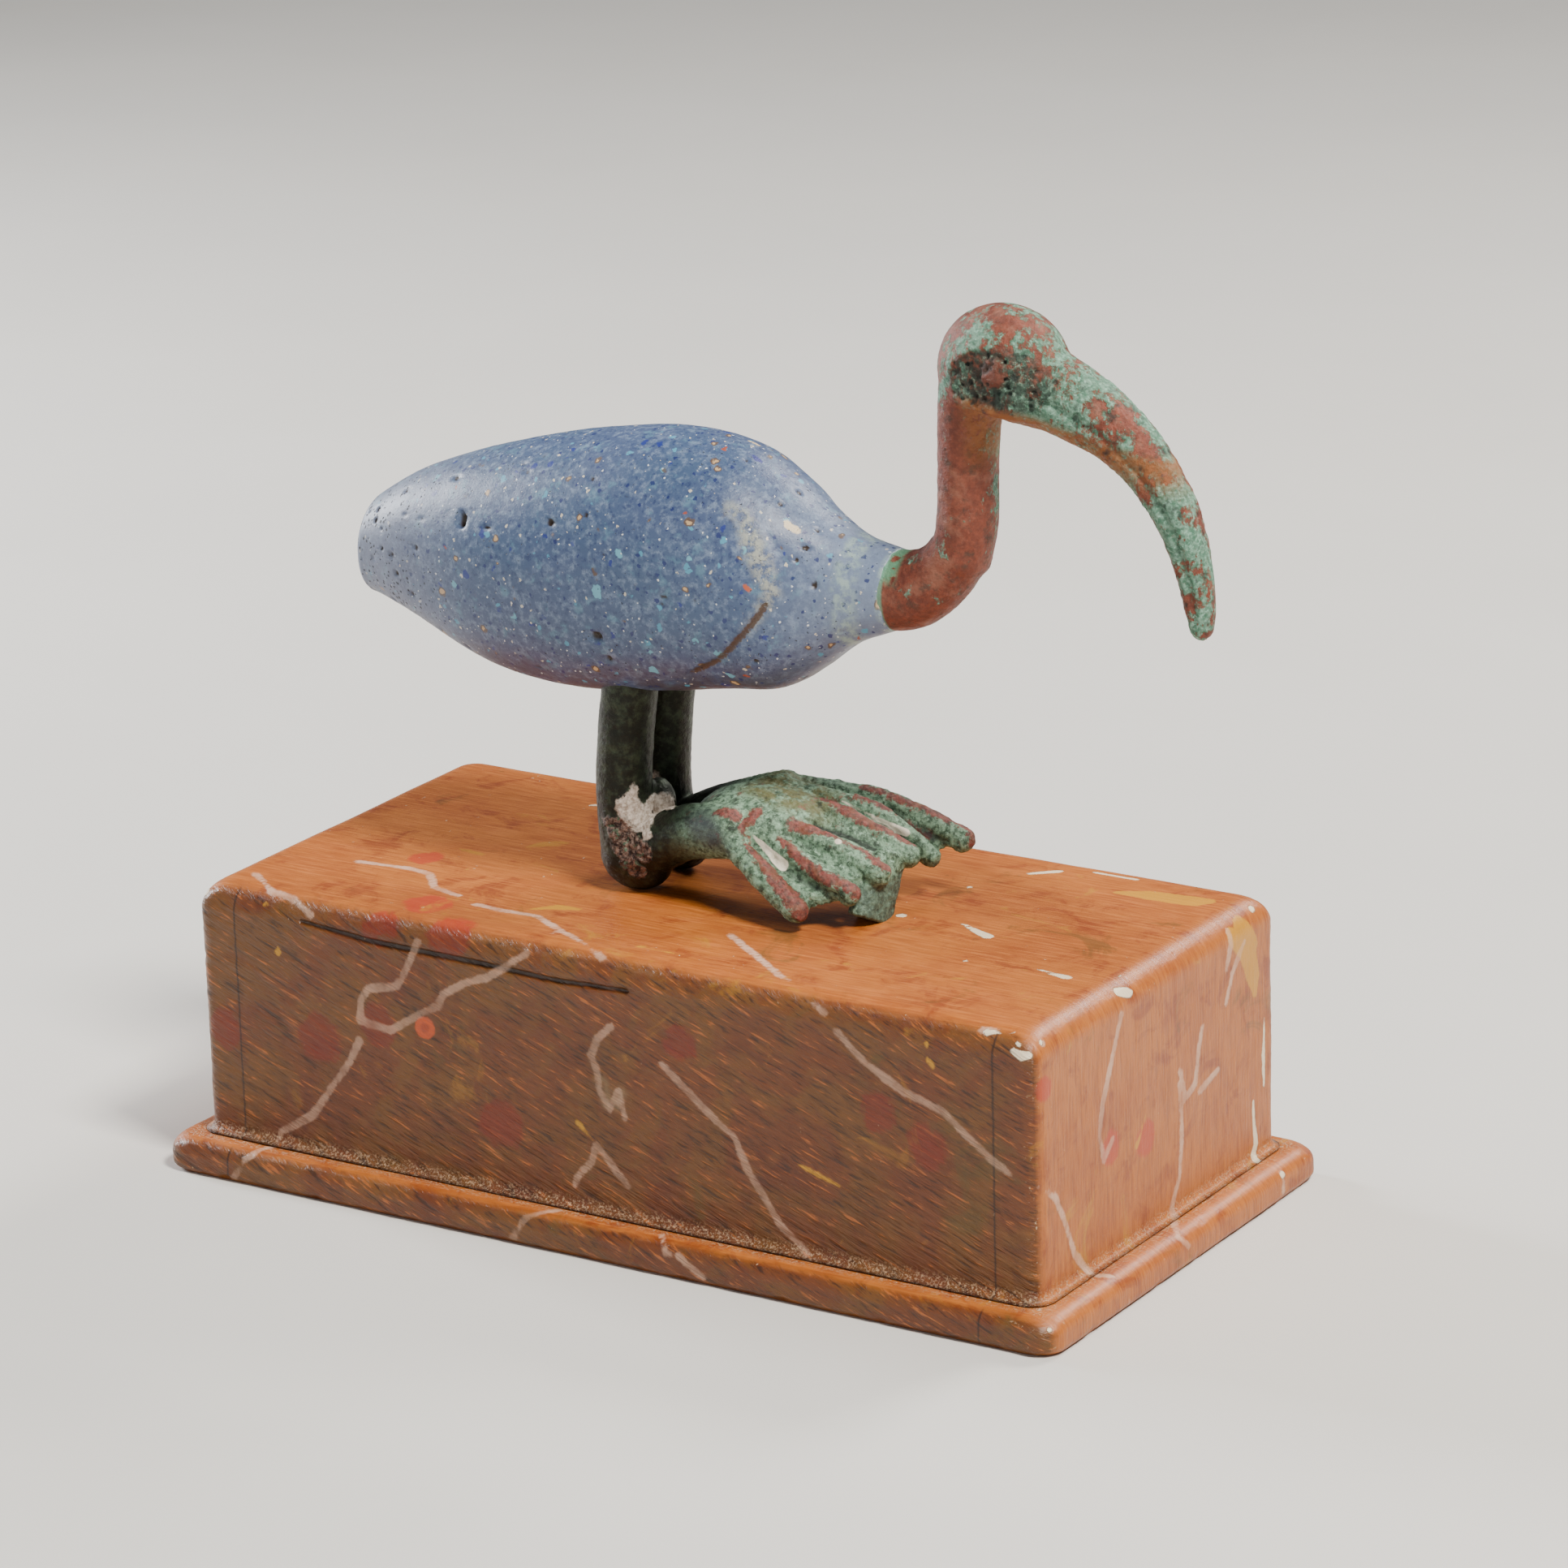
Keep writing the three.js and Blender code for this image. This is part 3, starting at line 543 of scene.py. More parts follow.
class Finish:
    """A node-based material, with patterns measured in millimetres on the object."""

    def __init__(self, name, **constants):
        self.material = bpy.data.materials.new(name)
        self.material.use_nodes = True
        self.tree = self.material.node_tree
        self.shader = self.tree.nodes["Principled BSDF"]
        for socket, value in constants.items():
            self.shader.inputs[socket.replace("_", " ").title().replace("Ior", "IOR")].default_value = value
        coordinates = self.node("ShaderNodeTexCoord", output="Object")
        self.place = self.node("ShaderNodeVectorMath", {"operation": "SCALE"}, {0: coordinates, "Scale": 1000.0})
        self.x = self.node("ShaderNodeSeparateXYZ", {}, {0: self.place})
        self.y, self.z = self.x.also(1), self.x.also(2)

    def node(self, kind, settings=None, sockets=None, output=0):
        """Adds a node: its settings first, then the values or links of its sockets."""
        made = self.tree.nodes.new(kind)
        for key, value in (settings or {}).items():
            setattr(made, key, value)
        for key, value in (sockets or {}).items():
            if isinstance(value, Term):
                self.tree.links.new(value.socket, made.inputs[key])
            elif made.inputs[key].type == "RGBA":
                made.inputs[key].default_value = (*value, 1)
            else:
                made.inputs[key].default_value = value
        return Term(self, made.outputs[output])

    def moved(self, seed, stretch=(1, 1, 1), turn=0.0):
        """The place in millimetres, shifted for this seed, turned about Y and drawn out along the axes."""
        shift = (seed * 13.7, seed * -7.9, seed * 5.3)
        return self.node(
            "ShaderNodeMapping", {"vector_type": "TEXTURE"},
            {"Vector": self.place, "Location": shift, "Rotation": (0, turn, 0), "Scale": stretch})

    def noise(self, size, seed, detail=3.0, rough=0.55, bend=0.0, stretch=(1, 1, 1), turn=0.0):
        return self.node(
            "ShaderNodeTexNoise", {},
            {"Vector": self.moved(seed, stretch, turn), "Scale": 1 / size, "Detail": detail, "Roughness": rough,
             "Distortion": bend})

    def cells(self, size, seed, ragged=0.0):
        """Scattered centres that far apart: the distance to the nearest as a share of it, and its random colour."""
        where = self.moved(seed)
        if ragged:
            wobble = self.noise(size * 0.35, seed + 0.5, detail=2).also("Color")
            centred = self.node("ShaderNodeVectorMath", {"operation": "SUBTRACT"}, {0: wobble, 1: (0.5, 0.5, 0.5)})
            spread = self.node("ShaderNodeVectorMath", {"operation": "SCALE"}, {0: centred, "Scale": ragged * size})
            where = self.node("ShaderNodeVectorMath", {}, {0: where, 1: spread})
        return self.node(
            "ShaderNodeTexVoronoi", {}, {"Vector": where, "Scale": 1 / size, "Randomness": 1.0})

    def grains(self, size, seed, radius, share, ragged=0.5):
        """Grains of about that radius round a share of the scattered centres, and the distance to them."""
        near = self.cells(size, seed, ragged)
        pick = self.node("ShaderNodeSeparateColor", {}, {0: near.also("Color")})
        reach = near - pick.also(1) * (radius / size * 0.7)
        kept = pick.between(1 - share, 1 - share + 0.02)
        return reach.between(radius / size * 0.65, radius / size * 0.35) * kept

    def stored(self, name):
        return self.node("ShaderNodeAttribute", {"attribute_name": name}, output="Fac")

    def mix(self, share, first, second):
        return self.node("ShaderNodeMix", {"data_type": "RGBA"}, {0: share, 6: first, 7: second}, 2)

    def connect(self, colour, roughness, metallic=None, height=None, depth=0.0002, strength=1.0):
        """Joins the worked-out surface to the shader; depth is the bump's height in metres."""
        for socket, value in (("Base Color", colour), ("Roughness", roughness), ("Metallic", metallic)):
            if value is not None:
                self.tree.links.new(value.socket, self.shader.inputs[socket])
        if height is not None:
            bump = self.node("ShaderNodeBump", {}, {"Strength": strength, "Distance": depth, "Height": height})
            self.tree.links.new(bump.socket, self.shader.inputs["Normal"])
        return self.material


def srgb(text):
    """A linear colour from six hexadecimal digits."""
    values = [int(text[i:i + 2], 16) / 255 for i in (0, 2, 4)]
    return tuple(v / 12.92 if v <= 0.04045 else ((v + 0.055) / 1.055) ** 2.4 for v in values)


def frit_finish(colours):
    """Ground blue frit: a grey-blue paste with coloured grains, fine pores and pale crust."""
    f = Finish("frit", ior=1.5)
    fine = f.noise(1.1, 2, detail=4, rough=0.7)
    base = f.mix(f.noise(13, 1, detail=3).between(0.35, 0.68), tuple(colours.frit), srgb("3f5270"))
    base = f.mix(fine.between(0.44, 0.74) * 0.7, base, srgb("7c8da4"))
    base = f.mix(f.noise(0.8, 12, detail=3, rough=0.65).between(0.52, 0.68) * 0.6, base, srgb("1c2a55"))
    base = f.mix(f.noise(2.6, 3, detail=4, rough=0.65).between(0.56, 0.7) * 0.45, base, srgb("5f8a9c"))
    tail = f.x.between(-26, -54)
    neck = f.x.between(10, 25)
    belly = f.z.between(77, 69.5)
    # The tail turns paler grey: partly worn frit, partly a painted highlight where the tail catches the light.
    base = f.mix(tail * 0.45, base, srgb("8a8f9c"))
    # Painted highlight: the body turns paler blue-grey towards the neck end, a painted sheen.
    base = f.mix(neck * 0.5, base, srgb("8391a6"))
    base = f.mix(belly * f.noise(4, 7, detail=4).between(0.25, 0.6) * (0.45 + f.x.between(-12, 4) * 0.35), base, srgb("4a3a33"))
    plain_grains = 1 - tail * 0.6
    for size, seed, radius, share, colour in (
        (1.3, 4, 0.3, 0.5, "16235c"), (2.6, 5, 0.5, 0.3, "1a2a78"), (2.1, 6, 0.42, 0.35, "4f93ad"),
        (3.4, 14, 0.6, 0.22, "6aa8ba"), (1.5, 15, 0.22, 0.4, "cfc5b0"), (6.5, 16, 0.4, 0.5, "9a4526"),
        (0.8, 19, 0.13, 0.3, "dfe0de"),
    ):
        base = f.mix(f.grains(size, seed, radius, share) * plain_grains * 0.85, base, srgb(colour))
    tan = f.grains(3.3, 17, 0.62, 0.5, 0.35)
    heart = f.grains(3.3, 17, 0.4, 0.5, 0.35)
    base = f.mix(tan * 0.85 * plain_grains, base, srgb("5b452f"))
    base = f.mix(heart * 0.9 * plain_grains, base, srgb("c3a277"))
    crust = (f.stored("crust") * f.noise(1.2, 8, detail=5, rough=0.72).between(0.38, 0.6)).limit()
    base = f.mix(crust * 0.85, base, srgb("a3a596"))
    band = f.x.between(21, 22.4) * f.x.between(25.4, 23.6) + f.x.between(26.9, 27.7)
    band = band * f.noise(1.5, 18, detail=5, rough=0.7).between(0.4, 0.62)
    base = f.mix(band * 0.65, base, srgb("9db3a6"))
    for name, colour in (("cream", "d8c196"), ("navy", "0c1670"), ("rust", "b4552c"), ("crack", "4a3524")):
        mark = f.stored(name) + (f.noise(0.7, 13, detail=4, rough=0.7) - 0.5) * 0.9
        base = f.mix(mark.between(0.15, -0.1) * 0.9, base, srgb(colour))
    base = f.mix(f.stored("pit").between(0.2, 0.75), base, srgb("30231a"))
    many = f.noise(6, 10).between(0.75, 0.3) * 0.1 + tail * 0.16 + 0.03
    hole = (f.cells(0.8, 9, 0.6) - many).between(0.03, -0.03)
    base = f.mix(hole * 0.8, base, srgb("1c1916"))
    rough = 0.36 + fine * 0.16 + crust * 0.25 + hole * 0.2 + tail * 0.06
    height = fine * 0.35 - hole * 1.2 + f.noise(0.3, 11, detail=2) * 0.3 + crust * 0.7
    return f.connect(base, rough, height=height, depth=0.00011, strength=0.85)


def head_finish(colours):
    """Cast bronze with red-brown cuprite, pale verdigris and darker green in the hollows."""
    f = Finish("head_patina", ior=1.5)
    relief = f.stored("relief")
    cheek = f.stored("cheek")
    neck = f.x.between(43.0, 40.5) * f.z.between(113.5, 110.5)
    cap = f.z.between(116.5, 121)
    bill = f.x.between(48, 53)
    red = f.mix(f.noise(0.9, 21, detail=5, rough=0.7).between(0.35, 0.68), tuple(colours.cuprite), srgb("83432f"))
    red = f.mix(f.noise(2.5, 29, detail=4).between(0.5, 0.7) * 0.6, red, srgb("97644f"))
    green = f.mix(f.noise(0.7, 22, detail=4, rough=0.65).between(0.35, 0.66), srgb("3f6b53"), tuple(colours.verdigris))
    green = f.mix(f.noise(0.45, 31, detail=3).between(0.5, 0.72) * 0.7, green, srgb("93bca6"))
    patches = f.noise(3.6, 23, detail=7, rough=0.72, stretch=(1, 1, 1.6)) + f.noise(0.9, 24, detail=4, rough=0.7) * 0.3
    share = (patches - neck * 0.105 + bill * 0.03).between(0.62, 0.70)
    base = f.mix(share, red, green)
    dark = f.noise(1.8, 25, detail=6, rough=0.72).between(0.52, 0.66)
    base = f.mix(dark * (0.55 - cap * 0.2), base, srgb("26332b"))
    base = f.mix(cheek * f.noise(0.8, 26, detail=5, rough=0.7).between(0.33, 0.55) * 0.85, base, srgb("24332a"))
    base = f.mix(cheek * f.noise(1.1, 32, detail=5, rough=0.7).between(0.56, 0.68) * 0.7, base, srgb("7f9a84"))
    base = f.mix(f.stored("eye") * f.noise(0.8, 33, detail=4).between(0.3, 0.5) * 0.9, base, srgb("6b3727"))
    base = f.mix(f.stored("under") * f.noise(1.0, 34, detail=5, rough=0.7).between(0.32, 0.52) * 0.9, base, srgb("8a5428"))
    base = f.mix(relief.between(-0.2, -0.9) * 0.7, base, srgb("18201b"))
    base = f.mix(f.x.between(30.4, 29.2) * f.z.between(86.6, 88.4) * f.noise(1.3, 35, detail=5).between(0.35, 0.5) * 0.85, base,
                 srgb("5d9a76"))
    base = f.mix(f.x.between(28.3, 27.9) * 0.7, base, srgb("6fa98c"))
    rough = 0.42 + share * 0.2 + f.noise(0.5, 27) * 0.14 + dark * 0.1
    height = f.noise(0.6, 28, detail=5, rough=0.72) + share * 0.35 + f.noise(2.0, 36, detail=4) * 0.8
    return f.connect(base, rough, (1 - share) * 0.3, height, depth=0.00022, strength=1.0)


def leg_finish(colours):
    """Dark green-black shins, and feet in mint and olive with crimson ridges and pale fillings."""
    f = Finish("leg_patina", ior=1.5)
    foot = f.stored("foot")
    worn = f.noise(0.9, 40, detail=5, rough=0.72)
    dark = f.mix(f.noise(1.4, 41, detail=6, rough=0.7).between(0.42, 0.68), srgb("14180f"), srgb("35402f"))
    mint = f.mix(f.noise(0.8, 42, detail=5, rough=0.7).between(0.36, 0.62), srgb("334a36"), srgb("7d9c80"))
    mint = f.mix(f.noise(0.5, 52, detail=4, rough=0.7).between(0.54, 0.68) * 0.7, mint, srgb("9fc0a4"))
    olive = f.mix(f.stored("dome") * f.noise(2.2, 43, detail=5, rough=0.7).between(0.36, 0.56) * 0.85, mint, srgb("5f5a2e"))
    feet = f.mix(f.noise(1.9, 53, detail=6, rough=0.72).between(0.53, 0.66) * 0.75, olive, srgb("1d261d"))
    crimson = f.mix(f.noise(0.7, 44, detail=4, rough=0.7).between(0.35, 0.66), srgb("4a1c1a"), srgb("8b4038"))
    crimson = f.mix(f.noise(1.3, 54, detail=3).between(0.5, 0.65) * 0.7, crimson, srgb("743a22"))
    ridge = f.stored("crimson") + (worn - 0.5) * 2.6
    feet = f.mix(ridge.between(0.25, -0.15) * 0.9, feet, crimson)
    feet = f.mix(f.noise(2.4, 45, detail=6, rough=0.72).between(0.60, 0.68) * 0.7, feet, crimson)
    base = f.mix(foot, dark, feet)
    # Painted sheen: a steel-grey highlight on the near instep's shoulder.
    base = f.mix(f.stored("painted_sheen") * 0.8, base, srgb("33383c"))
    # Painted shade: the toe grooves, also cut in the shape, are darkened to near black.
    base = f.mix(f.stored("groove").between(0.5, 0.0) * 0.85, base, srgb("0d110d"))
    crust = (f.stored("crust") + (worn - 0.5) * 2.2).between(0.3, -0.1)
    rind = f.mix(f.noise(0.7, 46, detail=5, rough=0.72).between(0.4, 0.62), srgb("2b1e1a"), srgb("8d7568"))
    base = f.mix(crust, base, rind)
    base = f.mix(crust * f.noise(0.9, 55, detail=4).between(0.56, 0.66) * 0.8, base, srgb("4b6b55"))
    pale = (f.stored("plaster") + (f.noise(1.0, 56, detail=5, rough=0.7) - 0.5) * 1.7).between(0.2, -0.2)
    filled = (f.stored("filling") + (worn - 0.5) * 0.35).between(0.08, -0.08)
    chalk = f.mix(f.noise(0.6, 47, detail=5, rough=0.7).between(0.35, 0.65), srgb("8a7b6c"), tuple(colours.plaster))
    base = f.mix(pale, base, f.mix(f.grains(1.6, 57, 0.3, 0.35), chalk, srgb("4a4038")))
    base = f.mix(filled, base, srgb("d9cfbb"))
    tang = f.stored("tang")
    base = f.mix(tang * 0.6, base, srgb("3a463f"))
    rough = 0.36 + foot * 0.2 + pale * 0.35 + worn * 0.12 + crust * 0.2
    metal = (1 - pale) * (1 - filled) * (0.55 - foot * 0.4)
    height = worn + crust * f.noise(0.5, 50, detail=4) * 2.5 + f.noise(2.2, 58, detail=5, rough=0.65) * foot
    return f.connect(base, rough, metal, height, depth=0.00022, strength=1.0)


def paint_finish(name, colours):
    """Brushed orange-brown paint, darker in front as painted shade, with patches of red, ochre and olive, and pale
    veins.
    """
    f = Finish(name, ior=1.5)
    top = f.stored("top")
    front = f.stored("front")
    side = 1 - (top + front).limit()
    slant = f.noise(0.42, 61, detail=3, rough=0.6, stretch=(9, 4, 1), turn=0.37, bend=0.4)
    slant = slant + f.noise(1.3, 74, detail=3, rough=0.6, stretch=(5, 3, 1), turn=0.42) * 0.5
    along = f.noise(0.5, 75, detail=4, rough=0.65, stretch=(14, 1, 14), bend=0.2)
    upright = f.noise(0.35, 76, detail=3, rough=0.6, stretch=(4, 1, 12), bend=0.2)
    base = f.mix(f.noise(15, 62, detail=5, rough=0.6, bend=0.6).between(0.35, 0.65), tuple(colours.paint), srgb("a85f22"))
    base = f.mix(f.noise(7, 63, detail=6, rough=0.68, bend=0.8).between(0.5, 0.66) * 0.7, base, srgb("7a3010"))
    base = f.mix(top * along.between(0.45, 0.7) * 0.45, base, srgb("c9793a"))
    base = f.mix(top * along.between(0.5, 0.3) * 0.4, base, srgb("7d3a12"))
    base = f.mix(side * upright.between(0.45, 0.7) * 0.35, base, srgb("c07630"))
    base = f.mix(side * upright.between(0.5, 0.3) * 0.4, base, srgb("6a2f0f"))
    # Painted shade: the front face is turned dark brown, darker than the top and the sides.
    base = f.mix(front * 0.8, base, f.mix(f.noise(10, 77, detail=5, rough=0.65, bend=0.8).between(0.4, 0.6), srgb("46200c"),
                                         srgb("4b3310")))
    # Brush ridges on the front: pale orange crests, partly worn paint and partly painted highlight; near-black furrows,
    # painted shade.
    base = f.mix(front * slant.between(0.84, 0.98) * 0.75, base, srgb("b0622a"))
    base = f.mix(front * slant.between(0.72, 0.55) * 0.7, base, srgb("1f0e06"))
    red = f.stored("red") + (f.noise(3.5, 64, detail=6, rough=0.7, bend=0.8) - 0.5) * 1.5
    # The red patches take a darker copy on the front face, as painted shade.
    base = f.mix(red.between(0.45, 0.8) * (0.75 - front * 0.1), base, f.mix(front, srgb("a8321a"), srgb("6e1e0e")))
    ochre = f.noise(12, 65, detail=5, rough=0.65, bend=1.0).between(0.62, 0.7)
    base = f.mix(ochre * (0.6 - front * 0.35), base, srgb("b07a1e"))
    olive = f.noise(13, 66, detail=5, rough=0.65, bend=1.0).between(0.6, 0.7)
    base = f.mix(olive * 0.5, base, srgb("4c3e16"))
    ragged = (f.noise(0.9, 67, detail=5, rough=0.75) - 0.5) * 0.8 + (f.noise(5, 78, detail=2) - 0.5) * 0.7
    yellow = (f.stored("yellow") + ragged).between(0.15, -0.25)
    base = f.mix(yellow * 0.75, base, srgb("c08a1c"))
    ring = f.stored("ring") + ragged * 0.6
    base = f.mix(ring.between(1.75, 1.35) * 0.9, base, srgb("b84a1c"))
    base = f.mix(ring.between(0.9, 0.4) * 0.6, base, srgb("7a2c12"))
    # Painted shade: the crease along the front is darkened to near black, on top of the groove cut in the shape.
    groove = f.stored("crease").between(0.45, 0.05)
    base = f.mix(groove * 0.85, base, srgb("150905"))
    for place in (-58.5, 58.6):
        line = front * f.x.between(place - 0.28, place) * f.x.between(place + 0.28, place)
        base = f.mix(line * 0.8, base, srgb("1d0d06"))
    base = f.mix(f.stored("faint").between(0.6, -0.6) * upright.between(0.3, 0.6) * 0.5, base, srgb("7d6a4a"))
    vein = (f.stored("vein") + ragged).between(0.22, -0.18)
    thick = f.noise(4, 68, detail=4, rough=0.65).between(0.3, 0.62)
    # The veins are fainter on the front face, as painted shade.
    vein = (vein * (0.35 + thick * 0.5) * (1 - front * 0.42)).limit()
    base = f.mix(vein, base, tuple(colours.vein))
    drop = (f.stored("drop") + ragged * 0.45).between(0.12, -0.08)
    base = f.mix(drop * 0.9, base, srgb("e3d3b4"))
    dust = f.grains(1.5, 69, 0.13, 0.35) * f.noise(9, 70).between(0.42, 0.58) * (0.35 + top * 0.65)
    dust = (dust + f.stored("cove") * f.noise(0.35, 79, detail=3, rough=0.7).between(0.48, 0.64) * 0.75).limit()
    base = f.mix(dust * 0.75, base, srgb("d2ae86"))
    base = f.mix(f.stored("edge") * f.noise(0.8, 71, detail=5, rough=0.75).between(0.6, 0.68) * 0.7, base, srgb("cbb391"))
    rough = 0.3 + f.noise(3, 72, detail=4) * 0.14 + vein * 0.15 + dust * 0.3 + along * 0.08
    height = slant * front * 2.2 + along * top * 0.5 + upright * side * 0.6 + vein * 0.5 + drop * 1.2 + dust
    height = height + f.noise(0.6, 73, detail=4, rough=0.6) * 0.35 - groove * 2
    return f.connect(base, rough, height=height, depth=0.00014, strength=0.9)


def floor_finish():
    f = Finish("floor")
    base = f.mix(f.noise(60, 81), srgb("cdcac4"), srgb("d4d1cb"))
    return f.connect(base, 0.75 + f.noise(8, 82) * 0.1)


def body_rings(rings, sides, sink):
    """Rings of the frit body, with the breast lying below the wings' front edge."""
    t = np.sin(np.linspace(0, 1, rings + 1) * math.pi / 2)
    x, back, belly, half = catmull(BODY, t).T
    tail = 1 - np.minimum(1, (x - BODY[-1][0]) / 2.5)
    rounding = np.sqrt(np.maximum(0.003, 1 - tail**2))
    angle = np.linspace(0, 2 * math.pi, sides, endpoint=False)[None, :]
    power = np.where(np.sin(angle) < 0, 2 / 2.5, 2 / 2.06)
    tall = np.sign(np.sin(angle)) * np.abs(np.sin(angle)) ** power
    broad = np.sign(np.cos(angle)) * np.abs(np.cos(angle)) ** power
    z = ((back + belly) / 2)[:, None] + ((back - belly) / 2 * rounding)[:, None] * tall
    x = x[:, None] + 0 * z
    ahead = ahead_of_wing(x, z)
    breast = smoothstep(x, -14, -4) * (1 - smoothstep(x, 17, 26)) * (1 - smoothstep(z, 89, 95))
    sunk = sink * breast * smoothstep(ahead, -0.3, 0.35)
    y = MIDDLE_Y - ((half * rounding)[:, None] - sunk) * broad
    return np.stack([x, y, z], axis=2)


def ahead_of_wing(x, z):
    """How far a point of the side view lies in front of the wings' edge, in millimetres."""
    edge = catmull(WING_EDGE, np.linspace(0, 1, 200))
    edge_x = np.interp(z, edge[:, 0], edge[:, 1])
    lean = np.interp(z, edge[:, 0], np.gradient(edge[:, 1], edge[:, 0]))
    return (x - edge_x) / np.sqrt(1 + lean**2)


def above_block(points):
    return [(p[0], p[1], BLOCK_TOP + p[2], *p[3:]) for p in points]


def toe_line(toe, steps):
    return catmull(above_block(toe[0]), np.linspace(0, 1, steps))


def web(toe_a, toe_b, steps=26, across=12):
    """The fused metal between two neighbouring toes, a little lower along its middle."""
    a, b = toe_line(toe_a, steps), toe_line(toe_b, steps)
    reach = int(steps * 0.95)
    rings = []
    for i in range(reach):
        over = (b[i] - a[i]) / np.linalg.norm(b[i] - a[i]) * 0.4
        share = np.linspace(0, 1, across)[:, None]
        row = (a[i] - over) * (1 - share) + (b[i] + over) * share
        lift = 1.05 - 0.45 * np.sin(share[:, 0] * math.pi)
        upper = row + np.stack([0 * lift, 0 * lift, lift], axis=1)
        below = 2.4 - 0.9 * i / steps
        lower = row[::-1] - np.array([0, 0, below])
        rings.append(np.concatenate([lower, upper]))
    return closed_rows(np.array(rings))


def rounded_box(low, high, corner, edges, spacing):
    """A box of even squares with round corners, and rounded edges below and above, in millimetres."""
    centre, half = (low + high) / 2, (high - low) / 2
    counts = np.maximum(2, np.round(2 * half / spacing).astype(int))
    points, faces, known = [], [], {}

    def index(grid):
        if grid not in known:
            known[grid] = len(points)
            points.append(half * (2 * np.array(grid) / counts - 1))
        return known[grid]

    for axis in range(3):
        u, v = (axis + 1) % 3, (axis + 2) % 3
        for side in (0, 1):
            corners = [[0, 0, 0] for _ in range(4)]
            for i in range(counts[u]):
                for j in range(counts[v]):
                    for c, (di, dj) in zip(corners, ((0, 0), (1, 0), (1, 1), (0, 1))):
                        c[axis], c[u], c[v] = side * int(counts[axis]), i + di, j + dj
                    face = tuple(index(tuple(c)) for c in corners)
                    faces.append(face if side else face[::-1])
    points = np.array(points)
    flat, z = points[:, :2], points[:, 2]
    edge = np.where(z > 0, edges[1], edges[0])
    depth = (half[:2] - np.abs(flat)).min(axis=1)
    room = half[2] - np.abs(z)
    angle = math.pi / 4 * np.clip(1 - room / edge + depth / edge, 0, 2)
    inset = np.where(depth < edge, edge * (1 - np.cos(angle)), depth)
    z = np.where(room < edge, np.sign(z) * (half[2] - edge * (1 - np.sin(angle))), z)
    shrink = np.where((depth < edge)[:, None], (half[:2] - inset[:, None]) / (half[:2] - depth[:, None] + 1e-9), 1)
    flat = flat * shrink
    round_part = np.clip(corner - np.maximum(0, depth - edge), 0, corner)
    inner = half[:2] - (inset + round_part)[:, None]
    middle = np.clip(flat, -inner, inner)
    out = flat - middle
    scale = np.abs(out).max(axis=1) / np.maximum(np.linalg.norm(out, axis=1), 1e-9)
    flat = middle + out * scale[:, None]
    return np.column_stack([flat, z]) + centre, faces


class IBIS_OT_body(bpy.types.Operator):
    """Builds the frit body with its wings, pits and pores"""

    bl_idname = "ibis.body"
    bl_label = "Frit Body"

    def execute(self, context):
        sizes, colours = context.scene.ibis_sizes, context.scene.ibis_colours
        rings = body_rings(sizes.body_rings, sizes.body_sides, sizes.breast_sink / MM)
        piece = mesh_object("body_frit", [closed_rows(rings)])
        points = points_of(piece)
        x, y, z = points.T
        near = smoothstep(MIDDLE_Y - y, 1.0, 4.0)
        pit = np.zeros(len(points))
        height = bumps(points, 9.0, 1, 3) * 0.07 + bumps(points, 1.2, 2, 3) * 0.02
        ragged = 1 + 0.25 * bumps(points, 0.8, 3, 2)
        for px, py, pz, long, high, deep in PITS:
            reach = np.sqrt(((x - px) / long) ** 2 + ((z - pz) / high) ** 2 + ((y - py) / max(long, high) * 0.4) ** 2)
            hole = 1 - smoothstep(reach * ragged, 0.45, 1.15)
            height -= hole * deep
            pit = np.maximum(pit, hole)
        pocked = 1 - smoothstep(pocks(points, 2.6, 4), 0.1, 0.22)
        worn = smoothstep(bumps(points, 11, 5, 2) + smoothstep(-x, 25, 55) * 0.4, 0.0, 0.35)
        height -= pocked * worn * 0.28
        pit = np.maximum(pit, pocked * worn * 0.7)
        edge = ahead_of_wing(x, z)
        crack = np.abs(edge - 0.15) + 3 * smoothstep(z, 84, 86) + 3 * (1 - smoothstep(z, 70, 74))
        height -= np.exp(-((crack / 0.4) ** 2)) * 0.2
        streak = stroke_gap(points, FRIT_MARKS["crust"])
        crust = (1 - smoothstep(streak, -0.4, 1.4)) * near
        height += crust * 0.06 * (1 + bumps(points, 0.9, 6, 3))
        store(piece, "pit", pit)
        store(piece, "crust", crust)
        store(piece, "crack", crack - 0.3)
        for name in ("cream", "navy", "rust"):
            store(piece, name, stroke_gap(points, FRIT_MARKS[name]))
        push_out(piece, height)
        finish_piece(piece, "frit_body", frit_finish(colours))
        return {"FINISHED"}


